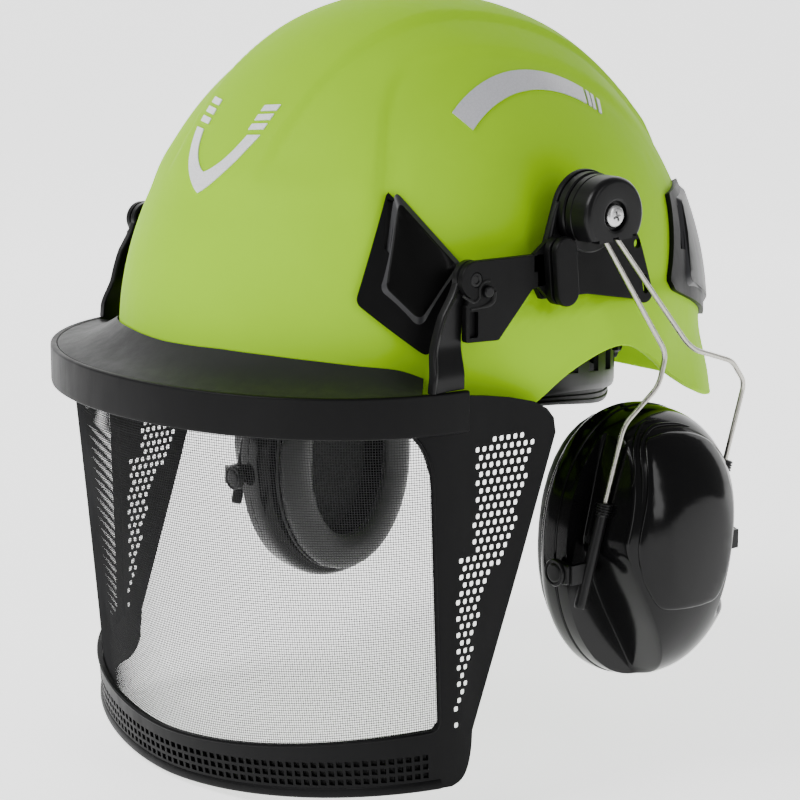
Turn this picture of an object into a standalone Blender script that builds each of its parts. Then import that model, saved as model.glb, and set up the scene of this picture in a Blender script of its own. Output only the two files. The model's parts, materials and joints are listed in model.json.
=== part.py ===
"""Forestry helmet with a flip-up mesh visor and ear muffs on spring-wire arms.

Frame: +Z up, the front of the helmet is -Y, the wearer's left is +X.
The origin is the centre of the head opening, level with the shell's lower edge.
Driving dimensions are in millimetres; v() turns them into Blender's metres.
"""
import math

import bmesh
import bpy
from mathutils import Vector

GAP = 0.35                       # clearance between touching pieces

# ---------------------------------------------------------------- driving dimensions
SHELL_HALF_WIDTH = 107.3
SHELL_FRONT = 122.0              # reach of the shell ahead of the origin
SHELL_BACK = 140.7               # reach of the shell behind the origin
SHELL_TOP = 170.3
SHELL_EQUATOR = 37.2             # below this height the wall is a vertical skirt
SHELL_WALL = 2.6
PLAN_POWER = 2.1                 # superellipse power of the horizontal sections
DOME_POWER = 1.1
FULLNESS_FRONT = 1.1
FULLNESS_SIDE = 0.98
FULLNESS_BACK = 0.91
CREST_HALF_WIDTH = 29.0
CREST_RISE = 1.6
LEDGE_HEIGHT = 57.0
LEDGE_RISE = 2.2
TAIL_FLARE = 5.5
# lower edge of the shell: (plan angle from the front in degrees, height)
SHELL_EDGE = ((0, 11), (45, 11), (64, 12), (74, 14), (81, 19), (86.5, 27.4), (93, 34.5), (98, 37.2),
              (102, 36.4), (106, 32), (114, 19.8), (124, 9.5), (131, 4), (139, 0.5), (155, -2), (180, -3))

DRUM_Y, DRUM_Z = 4.2, 92.7       # ear-muff drum axis, along X
DRUM_RADIUS = 15.4
BRACKET_RIM = 1.4                # the ear bracket's round top reaches this far past the drum
DRUM_FACE_X = 126.5
SWING_X, SWING_Z = 119.5, 84.8   # cross bar of the ear wire: the swing axis, along Y
HINGE_Y, HINGE_Z = -56.0, 72.0   # visor hinge axis, along X
HINGE_HEAD_RADIUS = 7.3

BAND_CENTRE_Y = -55.0            # brow band plan: half superellipse
BAND_HALF_WIDTH = 115.4
BAND_DEPTH = 93.6
BAND_POWER = 2.1
BAND_END = 86.5                  # plan angle of the band's two ends
BAND_WALL = 2.6
BAND_TOP, BAND_BOTTOM = 30.2, 13.8
FLAP_THICKNESS = 1.5

VISOR_CENTRE_Y = -60.0           # visor plan: half superellipse, then straight side panels
VISOR_POWER = 1.82
VISOR_WIDTH_0, VISOR_WIDTH_SLOPE = 112.3, -0.012      # half width at z = 0, and its change with height
VISOR_DEPTH_0, VISOR_DEPTH_SLOPE = 83.2, 0.146
VISOR_WALL = 1.8
VISOR_TOP = 27.5
VISOR_BOTTOM_FRONT, VISOR_BOTTOM_RISE = -140.5, 12.5
WINDOW_TOP = 19.0
WINDOW_BOTTOM_FRONT, WINDOW_BOTTOM_RISE = -119.5, 16.0
WINDOW_HALF_ANGLE = 77.0
# rear edge of the side panels: (height, y)
PANEL_REAR = ((-141, -82), (-136, -77), (-129, -76), (-122, -66), (-112, -58), (-44, -33), (0, -16.5),
              (8, -13.5), (14, -14.5), (18, -18), (21.5, -25), (24.3, -37), (26.3, -50), (27.5, -60))
MESH_THICKNESS = 0.7

CUP_Y, CUP_Z = 40.0, -47.5       # centre of the ear cup's oval
CUP_HALF_WIDTH, CUP_HALF_HEIGHT = 45.0, 57.0
CUP_TILT = math.radians(1.0)     # the oval leans, its lower end forward
CUP_FACE_X = 80.0                # flat face of the sealing cushion
CUP_RING_X = 91.5
CUP_SHELL_X = 103.5
CUP_CROWN_X = 140.0
PIVOT_X, PIVOT_Z = 108.0, -52.5  # cup pivot axis, along Y
WIRE_RADIUS = 1.05
SLEEVE_BORE, SLEEVE_RADIUS = 1.35, 2.5
LEG_DIRECTION = Vector((-0.06, -0.25, -0.966)).normalized()
FRONT_LEG = Vector((116.7, 3.2, -45.0))               # a point on the front leg's lower stretch
REAR_LEG = Vector((121.0, 84.8, 15.0))                # a point on the rear leg's lower stretch

BAND_RING_HALF_WIDTH, BAND_RING_HALF_LENGTH = 76.0, 97.0     # headband
BAND_RING_CENTRE_Y = 3.0
HEADBAND_HEIGHT = 26.0
HEADBAND_WALL = 2.0

for old in list(bpy.data.objects):
    bpy.data.objects.remove(old, do_unlink=True)


# ---------------------------------------------------------------- small tools
def v(x, y, z):
    """A point given in millimetres, as a Vector in metres."""
    return Vector((x, y, z)) * 0.001


def material(name, colour, roughness, metallic=0.0):
    mat = bpy.data.materials.new(name)
    mat.use_nodes = True
    shader = mat.node_tree.nodes["Principled BSDF"]
    shader.inputs["Base Color"].default_value = (*colour, 1.0)
    shader.inputs["Roughness"].default_value = roughness
    shader.inputs["Metallic"].default_value = metallic
    mat.diffuse_color = (*colour, 1.0)
    return mat


SHELL_GREEN = material("shell_green", (0.42, 0.66, 0.05), 0.38)
BLACK_PLASTIC = material("black_plastic", (0.012, 0.012, 0.013), 0.45)
GLOSS_BLACK = material("gloss_black", (0.008, 0.008, 0.009), 0.15)
GREY_RUBBER = material("grey_rubber", (0.09, 0.09, 0.09), 0.6)
STEEL_WIRE = material("steel_wire", (0.6, 0.58, 0.53), 0.3, 1.0)
VISOR_GAUZE = material("visor_gauze", (0.04, 0.04, 0.042), 0.6)
REFLECTIVE = material("reflective", (0.75, 0.75, 0.78), 0.35)
WEBBING = material("webbing", (0.02, 0.02, 0.022), 0.85)
PAD_FOAM = material("pad_foam", (0.03, 0.03, 0.03), 0.8)


def finish(name, bm, mat, origin=None, sharp=35.0):
    """Turn a bmesh into a named object with its origin on the given point."""
    bmesh.ops.recalc_face_normals(bm, faces=bm.faces)
    if bm.calc_volume(signed=True) < 0:
        bmesh.ops.reverse_faces(bm, faces=bm.faces)
    origin = origin if origin is not None else Vector((0, 0, 0))
    bmesh.ops.translate(bm, verts=bm.verts, vec=-origin)
    mesh = bpy.data.meshes.new(name)
    bm.to_mesh(mesh)
    bm.free()
    mesh.materials.append(mat)
    mesh.shade_smooth()
    mesh.set_sharp_from_angle(angle=math.radians(sharp))
    obj = bpy.data.objects.new(name, mesh)
    obj.location = origin
    bpy.context.scene.collection.objects.link(obj)
    return obj


def cutter(name, bm):
    """A closed shape used only to cut another."""
    obj = finish(name, bm, BLACK_PLASTIC)
    obj.hide_render = True
    obj.display_type = 'WIRE'
    return obj


def cut(obj, tool, operation='DIFFERENCE'):
    mod = obj.modifiers.new("cut_" + tool.name, 'BOOLEAN')
    mod.object = tool
    mod.operation = operation
    mod.solver = 'EXACT'
    return mod


def add_sheet(bm, outer, inner, wrap=False, hole=None):
    """Close the space between two grids of points; hole(row, column) leaves cells out."""
    rows, cols = len(outer), len(outer[0])
    top = [[bm.verts.new(p) for p in row] for row in outer]
    low = [[bm.verts.new(p) for p in row] for row in inner]
    cells = cols if wrap else cols - 1

    def kept(i, j):
        if wrap:
            j %= cols
        if not (0 <= i < rows - 1 and 0 <= j < cells):
            return False
        return hole is None or not hole(i, j)

    for i in range(rows - 1):
        for j in range(cells):
            if not kept(i, j):
                continue
            k = (j + 1) % cols
            bm.faces.new((top[i][j], top[i][k], top[i + 1][k], top[i + 1][j]))
            bm.faces.new((low[i][j], low[i + 1][j], low[i + 1][k], low[i][k]))
            if not kept(i - 1, j):
                bm.faces.new((top[i][j], low[i][j], low[i][k], top[i][k]))
            if not kept(i + 1, j):
                bm.faces.new((top[i + 1][j], top[i + 1][k], low[i + 1][k], low[i + 1][j]))
            if not kept(i, j - 1):
                bm.faces.new((top[i][j], top[i + 1][j], low[i + 1][j], low[i][j]))
            if not kept(i, j + 1):
                bm.faces.new((top[i][k], low[i][k], low[i + 1][k], top[i + 1][k]))
    loose = [vert for vert in bm.verts if not vert.link_faces]
    bmesh.ops.delete(bm, geom=loose, context='VERTS')


def sheet(name, outer, inner, mat, wrap=False, hole=None, origin=None):
    bm = bmesh.new()
    add_sheet(bm, outer, inner, wrap, hole)
    return finish(name, bm, mat, origin)


def add_loft(bm, rings, caps=True, closed=False):
    """Skin a stack of closed rings of equal count; closed joins the last ring to the first."""
    loops = [[bm.verts.new(p) for p in ring] for ring in rings]
    pairs = list(zip(loops, loops[1:]))
    if closed:
        pairs.append((loops[-1], loops[0]))
    for a, b in pairs:
        n = len(a)
        for j in range(n):
            bm.faces.new((a[j], a[(j + 1) % n], b[(j + 1) % n], b[j]))
    if caps and not closed:
        bm.faces.new(list(reversed(loops[0])))
        bm.faces.new(loops[-1])


def loft(name, rings, mat, origin=None, closed=False, sharp=35.0):
    bm = bmesh.new()
    add_loft(bm, rings, closed=closed)
    return finish(name, bm, mat, origin, sharp)


def prism(bm, outline, x_low, x_high):
    """Extrude a (y, z) outline along X."""
    add_loft(bm, [[v(x, y, z) for y, z in outline] for x in (x_low, x_high)])


def arc(cy, cz, radius, start, stop, steps):
    """Points of an arc in the YZ plane, angles in degrees from +Y towards +Z."""
    out = []
    for i in range(steps + 1):
        a = math.radians(start + (stop - start) * i / steps)
        out.append((cy + radius * math.cos(a), cz + radius * math.sin(a)))
    return out


def frame_of(axis):
    """Two unit vectors square to an axis."""
    axis = axis.normalized()
    side = Vector((1, 0, 0)) if abs(axis.x) < 0.7 else Vector((0, 1, 0))
    u = axis.cross(side).normalized()
    return u, axis.cross(u).normalized()


def turned_rings(base, axis, profile, sides=24, phase=0.0):
    """Rings of a turned part; profile is (distance along axis, radius) in millimetres."""
    u, w = frame_of(axis)
    axis = axis.normalized()
    rings = []
    for along, radius in profile:
        ring = []
        for j in range(sides):
            a = 2 * math.pi * (j + phase) / sides
            ring.append(base + (axis * along + (u * math.cos(a) + w * math.sin(a)) * radius) * 0.001)
        rings.append(ring)
    return rings


def tube_rings(points, radius, sides=8):
    """Rings of a round bar swept along points given in millimetres."""
    rings = []
    u = None
    for i, p in enumerate(points):
        ahead = points[min(i + 1, len(points) - 1)] - points[max(i - 1, 0)]
        ahead.normalize()
        if u is None:
            u = frame_of(ahead)[0]
        u = (u - ahead * u.dot(ahead)).normalized()
        w = ahead.cross(u)
        ring = []
        for j in range(sides):
            a = 2 * math.pi * (j + 0.5) / sides
            ring.append((p + (u * math.cos(a) + w * math.sin(a)) * radius) * 0.001)
        rings.append(ring)
    return rings


def rounded_path(corners, bend, steps=3):
    """A path through corners, each turned with a short smooth bend."""
    out = [corners[0].copy()]
    for before, at, after in zip(corners, corners[1:], corners[2:]):
        reach = min(bend, (at - before).length * 0.45, (after - at).length * 0.45)
        start = at + (before - at).normalized() * reach
        stop = at + (after - at).normalized() * reach
        for i in range(steps + 1):
            t = i / steps
            out.append(start * (1 - t) ** 2 + at * 2 * t * (1 - t) + stop * t ** 2)
    out.append(corners[-1].copy())
    return out


def smooth_step(a, b, x):
    t = min(1.0, max(0.0, (x - a) / (b - a)))
    return t * t * (3 - 2 * t)


def along_table(table, x):
    """Straight-line reading between the points of a (position, value) table."""
    for (x0, y0), (x1, y1) in zip(table, table[1:]):
        if x <= x1:
            t = max(0.0, (x - x0) / (x1 - x0))
            return y0 + (y1 - y0) * t
    return table[-1][1]


def signed_power(value, power):
    return math.copysign(abs(value) ** power, value)


# ---------------------------------------------------------------- the shell's surface
def bare_shell(angle, z):
    """Point of the smooth shell at a plan angle (0 front, 90 left, 180 back) and height."""
    a = math.radians(angle)
    s, c = math.sin(a), math.cos(a)
    end_fullness = FULLNESS_FRONT if c > 0 else FULLNESS_BACK
    fullness = FULLNESS_SIDE + (end_fullness - FULLNESS_SIDE) * c * c
    reach = SHELL_FRONT if c > 0 else SHELL_BACK
    if z > SHELL_EQUATOR:
        rise = min(1.0, (z - SHELL_EQUATOR) / (SHELL_TOP - SHELL_EQUATOR)) ** (1 / DOME_POWER)
        scale = max(0.0, 1 - rise * rise) ** (fullness / 2)
    else:
        scale = 1.0
    m = 2 / PLAN_POWER
    return Vector((SHELL_HALF_WIDTH * signed_power(s, m) * scale, -reach * signed_power(c, m) * scale, z))


def shell_normal(angle, z):
    da, dz = 0.5, 0.5
    up = bare_shell(angle, min(z + dz, SHELL_TOP - 0.05)) - bare_shell(angle, z - dz)
    along = bare_shell(angle + da, z) - bare_shell(angle - da, z)
    if along.length < 1e-6:
        return Vector((0, 0, 1))
    return along.cross(up).normalized()


def relief(angle, p):
    """Raised crest, side ledge and flared nape of the moulding, in millimetres."""
    folded = abs((angle + 180) % 360 - 180)
    crest = 1 - smooth_step(CREST_HALF_WIDTH - 3, CREST_HALF_WIDTH + 4, abs(p.x))
    rise = CREST_RISE * crest * smooth_step(96, 122, p.z)
    side = smooth_step(70, 82, folded) * (1 - smooth_step(112, 124, folded))
    rise += LEDGE_RISE * side * (1 - smooth_step(LEDGE_HEIGHT - 3, LEDGE_HEIGHT + 1.5, p.z))
    tail = smooth_step(106, 132, folded) * (1 - smooth_step(0, 34, p.z))
    rise += TAIL_FLARE * tail
    return rise


def shell(angle, z, offset=0.0):
    """Point on the shell's outside, or offset from it along the normal, in millimetres."""
    p = bare_shell(angle, z)
    return p + shell_normal(angle, z) * (relief(angle, p) + offset)


def shell_edge(angle):
    return along_table(SHELL_EDGE, abs((angle + 180) % 360 - 180))


def helmet_shell():
    """One moulding: a wall of even thickness from the lower edge up to a small crown cap."""
    columns, rows = 52, 16
    crown = 0.9992
    outer, inner = [], []
    for i in range(rows):
        ring_out, ring_in = [], []
        for j in range(columns):
            angle = 360 * j / columns
            low = shell_edge(angle)
            z = low + (SHELL_TOP - low) * crown * math.sin(math.pi / 2 * i / (rows - 1)) ** 0.92
            ring_out.append(shell(angle, z) * 0.001)
            ring_in.append(shell(angle, z, -SHELL_WALL) * 0.001)
        outer.append(ring_out)
        inner.append(ring_in)
    bm = bmesh.new()
    loops_out = [[bm.verts.new(p) for p in ring] for ring in outer]
    loops_in = [[bm.verts.new(p) for p in ring] for ring in inner]
    for loops in (loops_out, loops_in):
        for a, b in zip(loops, loops[1:]):
            for j in range(columns):
                k = (j + 1) % columns
                bm.faces.new((a[j], a[k], b[k], b[j]))
        pole = sum((vert.co for vert in loops[-1]), Vector()) / columns
        centre = bm.verts.new(pole)
        for j in range(columns):
            bm.faces.new((loops[-1][j], loops[-1][(j + 1) % columns], centre))
    for j in range(columns):
        k = (j + 1) % columns
        bm.faces.new((loops_out[0][j], loops_in[0][j], loops_in[0][k], loops_out[0][k]))
    return finish("helmet_shell", bm, SHELL_GREEN)


def patch_grids(corners, side, low, high, cells=6):
    """Two grids over a four-cornered patch of the shell; corners are (angle, height)."""
    (a0, z0), (a1, z1), (a2, z2), (a3, z3) = corners
    grids = []
    for offset in (high, low):
        grid = []
        for i in range(cells + 1):
            t = i / cells
            row = []
            for j in range(cells + 1):
                s = j / cells
                angle = (a0 * (1 - s) + a1 * s) * (1 - t) + (a3 * (1 - s) + a2 * s) * t
                z = (z0 * (1 - s) + z1 * s) * (1 - t) + (z3 * (1 - s) + z2 * s) * t
                row.append(shell(side * angle, z, offset) * 0.001)
            grid.append(row)
        grids.append(grid)
    return grids


def shrink(corners, factor):
    """Corners drawn towards the middle of a patch."""
    ca = sum(c[0] for c in corners) / 4
    cz = sum(c[1] for c in corners) / 4
    return [(ca + (a - ca) * factor, cz + (z - cz) * factor) for a, z in corners]


FRONT_VENT = ((51.0, 103.0), (65.4, 73.5), (59.4, 40.0), (45.0, 61.5))
FRONT_VENT_PANEL = ((54.0, 95.0), (64.3, 73.5), (57.6, 56.5), (51.0, 66.5))
REAR_VENT = ((127.5, 90.0), (146.0, 92.0), (148.0, 31.0), (115.2, 54.0))
REAR_VENT_PANEL = ((131.0, 84.0), (143.0, 86.0), (144.0, 40.0), (123.0, 54.0))
FRAME_BASE, FRAME_RISE, PANEL_RISE = 1.0, 2.1, 3.6        # offsets from the shell's outside
OPENING_SHARE = 0.62             # size of the shell's opening as a share of its vent frame
OPENING_DEPTH = (-8.0, 6.0)      # the opening's cutter, below and above the shell's outside


def vents(shell_obj):
    """Black vent frames on the shell's outside, each over an opening, with a raised panel."""
    for label, side in (("left", 1), ("right", -1)):
        for place, outline, panel in (("front", FRONT_VENT, FRONT_VENT_PANEL),
                                      ("rear", REAR_VENT, REAR_VENT_PANEL)):
            grids = patch_grids(outline, side, FRAME_BASE, FRAME_RISE)
            sheet(f"{place}_vent_frame_{label}", grids[0], grids[1], BLACK_PLASTIC)
            grids = patch_grids(panel, side, FRAME_RISE + GAP, PANEL_RISE, 5)
            sheet(f"{place}_vent_panel_{label}", grids[0], grids[1], BLACK_PLASTIC)
            bm = bmesh.new()
            grids = patch_grids(shrink(outline, OPENING_SHARE), side, *OPENING_DEPTH, 3)
            add_sheet(bm, grids[0], grids[1])
            cut(shell_obj, cutter(f"{place}_vent_opening_{label}", bm))


def angle_at(value, z, component):
    """Plan angle where the shell's x (component 0) or y (component 1) takes a value at a height."""
    low, high = (0.0, 90.0) if component == 0 else (0.0, 180.0)
    for _ in range(30):
        mid = (low + high) / 2
        if shell(mid, z)[component] < value:
            low = mid
        else:
            high = mid
    return (low + high) / 2


def reflectors():
    """Thin reflective stickers: the brow V and one arc on each side."""
    steps = 8
    low, high = GAP, GAP + 0.35
    grids = []
    for offset in (high, low):
        grid = []
        for edge in (0.0, 1.0):
            row = []
            for i in range(-steps, steps + 1):
                t = abs(i) / steps
                x = (21.8 - 7.0 * edge) * t
                z = 98.3 + 7.0 * edge + (21.5 - 6.3 * edge) * t ** 1.25
                angle = math.copysign(angle_at(x, z, 0), i)
                row.append(shell(angle, z, offset) * 0.001)
            grid.append(row)
        grids.append(grid)
    sheet("reflector_front", grids[0], grids[1], REFLECTIVE)
    for label, side in (("left", 1), ("right", -1)):
        grids = []
        for offset in (high, low):
            grid = []
            for edge in (-1.0, 0.0, 1.0):
                row = []
                for i in range(11):
                    a = math.radians(127 - 66 * i / 10)
                    radius = 66.3 + edge * (4.0 - 0.09 * i)
                    y = 11.0 + radius * math.cos(a)
                    z = 74.5 + radius * math.sin(a)
                    row.append(shell(side * angle_at(y, z, 1), z, offset) * 0.001)
                grid.append(row)
            grids.append(grid)
        sheet(f"reflector_side_{label}", grids[0], grids[1], REFLECTIVE)


# ---------------------------------------------------------------- brackets, drum and hinge
ADAPTER_X = 106.1
PLATE_X = (106.5, 109.0)
VISOR_PLATE_X = (109.4, 112.2)
ARM_X = (105.7, 108.8)
ARM_LEAN = 3.4
LUG_Y, LUG_TOP_Z, LUG_LOW_Z, LUG_RADIUS = -13.8, 79.4, 63.4, 6.0
LUG_FACE_X = 118.6               # outer face of the thumb lug


def slot_adapter(side, label):
    """Block between the shell's side slot and the bracket plate."""
    rows = []
    for i in range(4):
        z = 62 + 16 * i / 3
        row = []
        for j in range(6):
            y = -10 + 34 * j / 5
            angle = angle_at(y, z, 1)
            row.append((angle, z, y))
        rows.append(row)
    inner = [[shell(side * a, z, GAP + 0.9) * 0.001 for a, z, _ in row] for row in rows]
    outer = [[v(side * ADAPTER_X, y, z) for _, z, y in row] for row in rows]
    return sheet(f"slot_adapter_{label}", outer, inner, BLACK_PLASTIC)


def ear_bracket(side, label):
    """Plate behind the drum: round top, slanted front rib edge, rear tab with a hole and a slot."""
    outline = arc(DRUM_Y, DRUM_Z, DRUM_RADIUS + BRACKET_RIM, 20, 165, 12)
    outline += [(-19.5, 78.0), (-22.5, 66.0), (-19.0, 60.0), (6.0, 59.5), (29.0, 60.5)]
    outline += arc(38.5, 56.5, 4.2, 215, 385, 5)
    outline += [(36.8, 74.0), (33.0, 82.0), (22.5, 88.0)]
    bm = bmesh.new()
    prism(bm, outline, side * PLATE_X[0], side * PLATE_X[1])
    plate = finish(f"ear_bracket_{label}", bm, BLACK_PLASTIC)
    bm = bmesh.new()
    prism(bm, arc(33.2, 77.2, 2.0, 0, 324, 9), side * (PLATE_X[0] - 2), side * (PLATE_X[1] + 2))
    cut(plate, cutter(f"tab_hole_{label}", bm))
    bm = bmesh.new()
    prism(bm, arc(DRUM_Y, DRUM_Z, 3.8, 0, 330, 11), side * (PLATE_X[0] - 2), side * (PLATE_X[1] + 2))
    cut(plate, cutter(f"screw_hole_{label}", bm))
    bm = bmesh.new()
    slot = arc(37.4, 63.0, 1.4, 0, 180, 4) + arc(38.4, 57.6, 1.4, 180, 360, 4)
    prism(bm, slot, side * (PLATE_X[0] - 2), side * (PLATE_X[1] + 2))
    cut(plate, cutter(f"tab_slot_{label}", bm))
    return plate


def visor_bracket(side, label):
    """Plate from the ear bracket forward to the hinge, with its thumb lug joined on."""
    outline = arc(HINGE_Y, HINGE_Z, HINGE_HEAD_RADIUS, 95, 250, 9)
    outline += [(-60.8, 63.0), (-61.0, 49.0), (-59.6, 47.6), (-45.0, 47.2), (-43.4, 48.2), (-26.5, 65.4)]
    outline += [(-21.0, 66.0), (-13.0, 66.0), (-13.0, 77.5), (-22.0, 79.2)]
    bm = bmesh.new()
    prism(bm, outline, side * VISOR_PLATE_X[0], side * VISOR_PLATE_X[1])
    plate = finish(f"visor_bracket_{label}", bm, BLACK_PLASTIC)
    bm = bmesh.new()
    prism(bm, arc(HINGE_Y, HINGE_Z, 3.0, 0, 330, 11), side * (VISOR_PLATE_X[0] - 2),
          side * (VISOR_PLATE_X[1] + 2))
    cut(plate, cutter(f"hinge_hole_{label}", bm))
    bm = bmesh.new()
    lug = arc(LUG_Y, LUG_TOP_Z, LUG_RADIUS, 0, 180, 8) + arc(LUG_Y, LUG_LOW_Z, LUG_RADIUS, 180, 360, 8)
    prism(bm, lug, side * (VISOR_PLATE_X[1] - 1.2), side * LUG_FACE_X)
    cut(plate, cutter(f"lug_{label}", bm), 'UNION')
    bm = bmesh.new()
    prism(bm, arc(-50.6, 67.0, 2.4, 0, 330, 11), side * (VISOR_PLATE_X[1] - 1.0), side * 114.2)
    cut(plate, cutter(f"snap_peg_{label}", bm), 'UNION')
    return plate


def hinge_pin(side, label):
    """Headed pin through the arm's and the bracket's round heads."""
    profile = [(ARM_X[0] - 1.4, 4.6), (ARM_X[0] - GAP, 4.6), (ARM_X[0] - GAP, 2.5),
               (VISOR_PLATE_X[1] + GAP, 2.5), (VISOR_PLATE_X[1] + GAP, 5.0), (VISOR_PLATE_X[1] + 1.6, 4.4)]
    profile = [(side * x, r) for x, r in profile]
    rings = turned_rings(v(0, HINGE_Y, HINGE_Z), Vector((1, 0, 0)), profile, 16)
    return loft(f"hinge_pin_{label}", rings, BLACK_PLASTIC)


# visor arm: (height, front edge y, rear edge y)
ARM_STATIONS = ((71.0, -63.1, -54.0), (66.5, -65.2, -56.0), (62.0, -68.2, -61.9), (58.5, -70.4, -62.0),
                (52.0, -72.9, -62.1), (46.0, -74.7, -62.1), (37.0, -77.3, -61.8), (30.9, -78.2, -61.6))


def visor_arm(side, label):
    """Arm from the hinge down to the brow band, stepping outwards on the way."""
    outer, inner = [], []
    for z, front, rear in ARM_STATIONS:
        lean = ARM_LEAN * (1 - smooth_step(44.0, 60.0, z))
        outer.append([v(side * (ARM_X[1] + lean), y, z) for y in (front, rear)])
        inner.append([v(side * (ARM_X[0] + lean), y, z) for y in (front, rear)])
    arm = sheet(f"visor_arm_{label}", outer, inner, BLACK_PLASTIC, origin=v(0, HINGE_Y, HINGE_Z))
    bm = bmesh.new()
    prism(bm, arc(HINGE_Y, HINGE_Z, HINGE_HEAD_RADIUS, 0, 345, 23), side * ARM_X[0], side * ARM_X[1])
    cut(arm, cutter(f"arm_head_{label}", bm), 'UNION')
    bm = bmesh.new()
    prism(bm, arc(HINGE_Y, HINGE_Z, 3.0, 0, 330, 11), side * (ARM_X[0] - 2), side * (ARM_X[1] + 2))
    cut(arm, cutter(f"arm_hole_{label}", bm))
    return arm


DRUM_BASE_X = (PLATE_X[1] + GAP, 112.9)
CAP_X = 113.3                    # open edge of the turning cap
CAP_WALL = 1.6
CAP_TOP = 2.2                    # thickness of the cap's face
SCREW_RADIUS = 3.2
CAP_BORE = 4.6
RECESS_RADIUS = 6.0              # dark recess round the screw's head


def drum(side, label):
    """Fixed base disc, hollow turning cap with a flat-cut open underside, and the axis screw."""
    axis = Vector((side, 0, 0))
    centre = v(0, DRUM_Y, DRUM_Z)
    base_radius = DRUM_RADIUS + 0.6
    base = [(DRUM_BASE_X[0], 4.2), (DRUM_BASE_X[0], base_radius), (DRUM_BASE_X[1], base_radius),
            (DRUM_BASE_X[1], 4.2)]
    loft(f"drum_base_{label}", turned_rings(centre, axis, base, 24), BLACK_PLASTIC, closed=True)
    under = DRUM_FACE_X - CAP_TOP
    hollow_top = under - CAP_TOP
    cap = [(CAP_X, DRUM_RADIUS), (DRUM_FACE_X - CAP_WALL, DRUM_RADIUS), (DRUM_FACE_X, DRUM_RADIUS - 1.8),
           (DRUM_FACE_X, RECESS_RADIUS), (under, RECESS_RADIUS), (under, CAP_BORE), (CAP_X, CAP_BORE),
           (CAP_X, CAP_BORE + 2.0), (hollow_top, CAP_BORE + 2.0), (hollow_top, DRUM_RADIUS - CAP_WALL),
           (CAP_X, DRUM_RADIUS - CAP_WALL)]
    cap_obj = loft(f"drum_cap_{label}", turned_rings(centre, axis, cap, 24), BLACK_PLASTIC, centre,
                   closed=True)
    bm = bmesh.new()
    flat = [(-30, 60), (40, 60), (40, 85.4), (-30, 81.0)]
    prism(bm, flat, side * (CAP_X - 1.3), side * (DRUM_FACE_X + 3.5))
    cut(cap_obj, cutter(f"cap_flat_{label}", bm))
    seat = under + GAP
    screw = [(PLATE_X[0], SCREW_RADIUS), (seat, SCREW_RADIUS), (seat, 4.7), (DRUM_FACE_X - 0.6, 4.5),
             (DRUM_FACE_X + 0.3, 3.0)]
    loft(f"drum_screw_{label}", turned_rings(centre, axis, screw, 16), STEEL_WIRE)


# ---------------------------------------------------------------- ear wire and cup
def leg_point(on_leg, z):
    return on_leg + LEG_DIRECTION * ((z - on_leg.z) / LEG_DIRECTION.z)


def mirrored(points, side):
    return [Vector((p.x * side, p.y, p.z)) for p in points]


WIRE_END_Z = -38.0
SLEEVE_FRONT_Z = (-24.5, -67.0)
SLEEVE_REAR_Z = (-16.5, -67.0)


def ear_wire(side, label):
    """One spring wire: two bent legs joined by the cross bar that swings in the drum."""
    front = [Vector((125.0, 34.4, 34.5)), Vector((124.6, 31.0, 21.5)), leg_point(FRONT_LEG, 6.5)]
    rear = [Vector((125.0, 46.0, 37.5)), Vector((125.2, 51.0, 33.8)), Vector((123.2, 75.0, 26.0)),
            leg_point(REAR_LEG, 15.5)]
    corners = [leg_point(FRONT_LEG, WIRE_END_Z)] + front[::-1] + [Vector((SWING_X, 3.8, SWING_Z - 1.5))]
    corners += [Vector((SWING_X, 3.8, SWING_Z)), Vector((SWING_X, 9.6, SWING_Z))]
    corners += [Vector((SWING_X, 10.2, SWING_Z - 1.5))] + rear + [leg_point(REAR_LEG, WIRE_END_Z)]
    path = rounded_path(mirrored(corners, side), 3.2, 2)
    origin = v(side * SWING_X, DRUM_Y, SWING_Z)
    return loft(f"ear_wire_{label}", tube_rings(path, WIRE_RADIUS), STEEL_WIRE, origin, sharp=60)


def yoke(side, label, place, leg, span, pivot_y, inward):
    """Sleeve that slides on one leg, with the button that carries the cup's pivot."""
    top, bottom = span
    start = mirrored([leg_point(leg, top)], side)[0]
    direction = Vector((LEG_DIRECTION.x * side, LEG_DIRECTION.y, LEG_DIRECTION.z))
    length = (top - bottom) / -LEG_DIRECTION.z
    profile = [(0.0, SLEEVE_BORE), (0.0, SLEEVE_RADIUS + 0.9), (3.4, SLEEVE_RADIUS + 0.9),
               (4.4, SLEEVE_RADIUS), (length, SLEEVE_RADIUS), (length, SLEEVE_BORE)]
    origin = v(side * PIVOT_X, pivot_y, PIVOT_Z)
    rings = turned_rings(start * 0.001, direction, profile, 8, 0.5)
    sleeve = loft(f"yoke_{place}_{label}", rings, BLACK_PLASTIC, origin, closed=True)
    at = leg_point(leg, PIVOT_Z)
    bm = bmesh.new()
    outer_y = pivot_y - inward * 3.0
    near, far = sorted((pivot_y, outer_y))
    reach = at.x - SLEEVE_RADIUS * 0.55
    x_low, x_high = PIVOT_X - 4.6, reach
    z_low, z_high = PIVOT_Z - 4.0, PIVOT_Z + 4.0
    rings = []
    for x in (x_low, x_high):
        ring = [v(side * x, near, z_low), v(side * x, far, z_low), v(side * x, far, z_high),
                v(side * x, near, z_high)]
        rings.append(ring)
    add_loft(bm, rings)
    cut(sleeve, cutter(f"yoke_foot_{place}_{label}", bm), 'UNION')
    if inward * (at.y - outer_y) > 0:
        bm = bmesh.new()
        near, far = sorted((outer_y + inward * 1.4, at.y))
        rings = [[v(side * x, near, z_low), v(side * x, far, z_low), v(side * x, far, z_high),
                  v(side * x, near, z_high)] for x in (at.x - SLEEVE_RADIUS * 0.6, at.x + 0.2)]
        add_loft(bm, rings)
        cut(sleeve, cutter(f"yoke_web_{place}_{label}", bm), 'UNION')
    return sleeve


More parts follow.
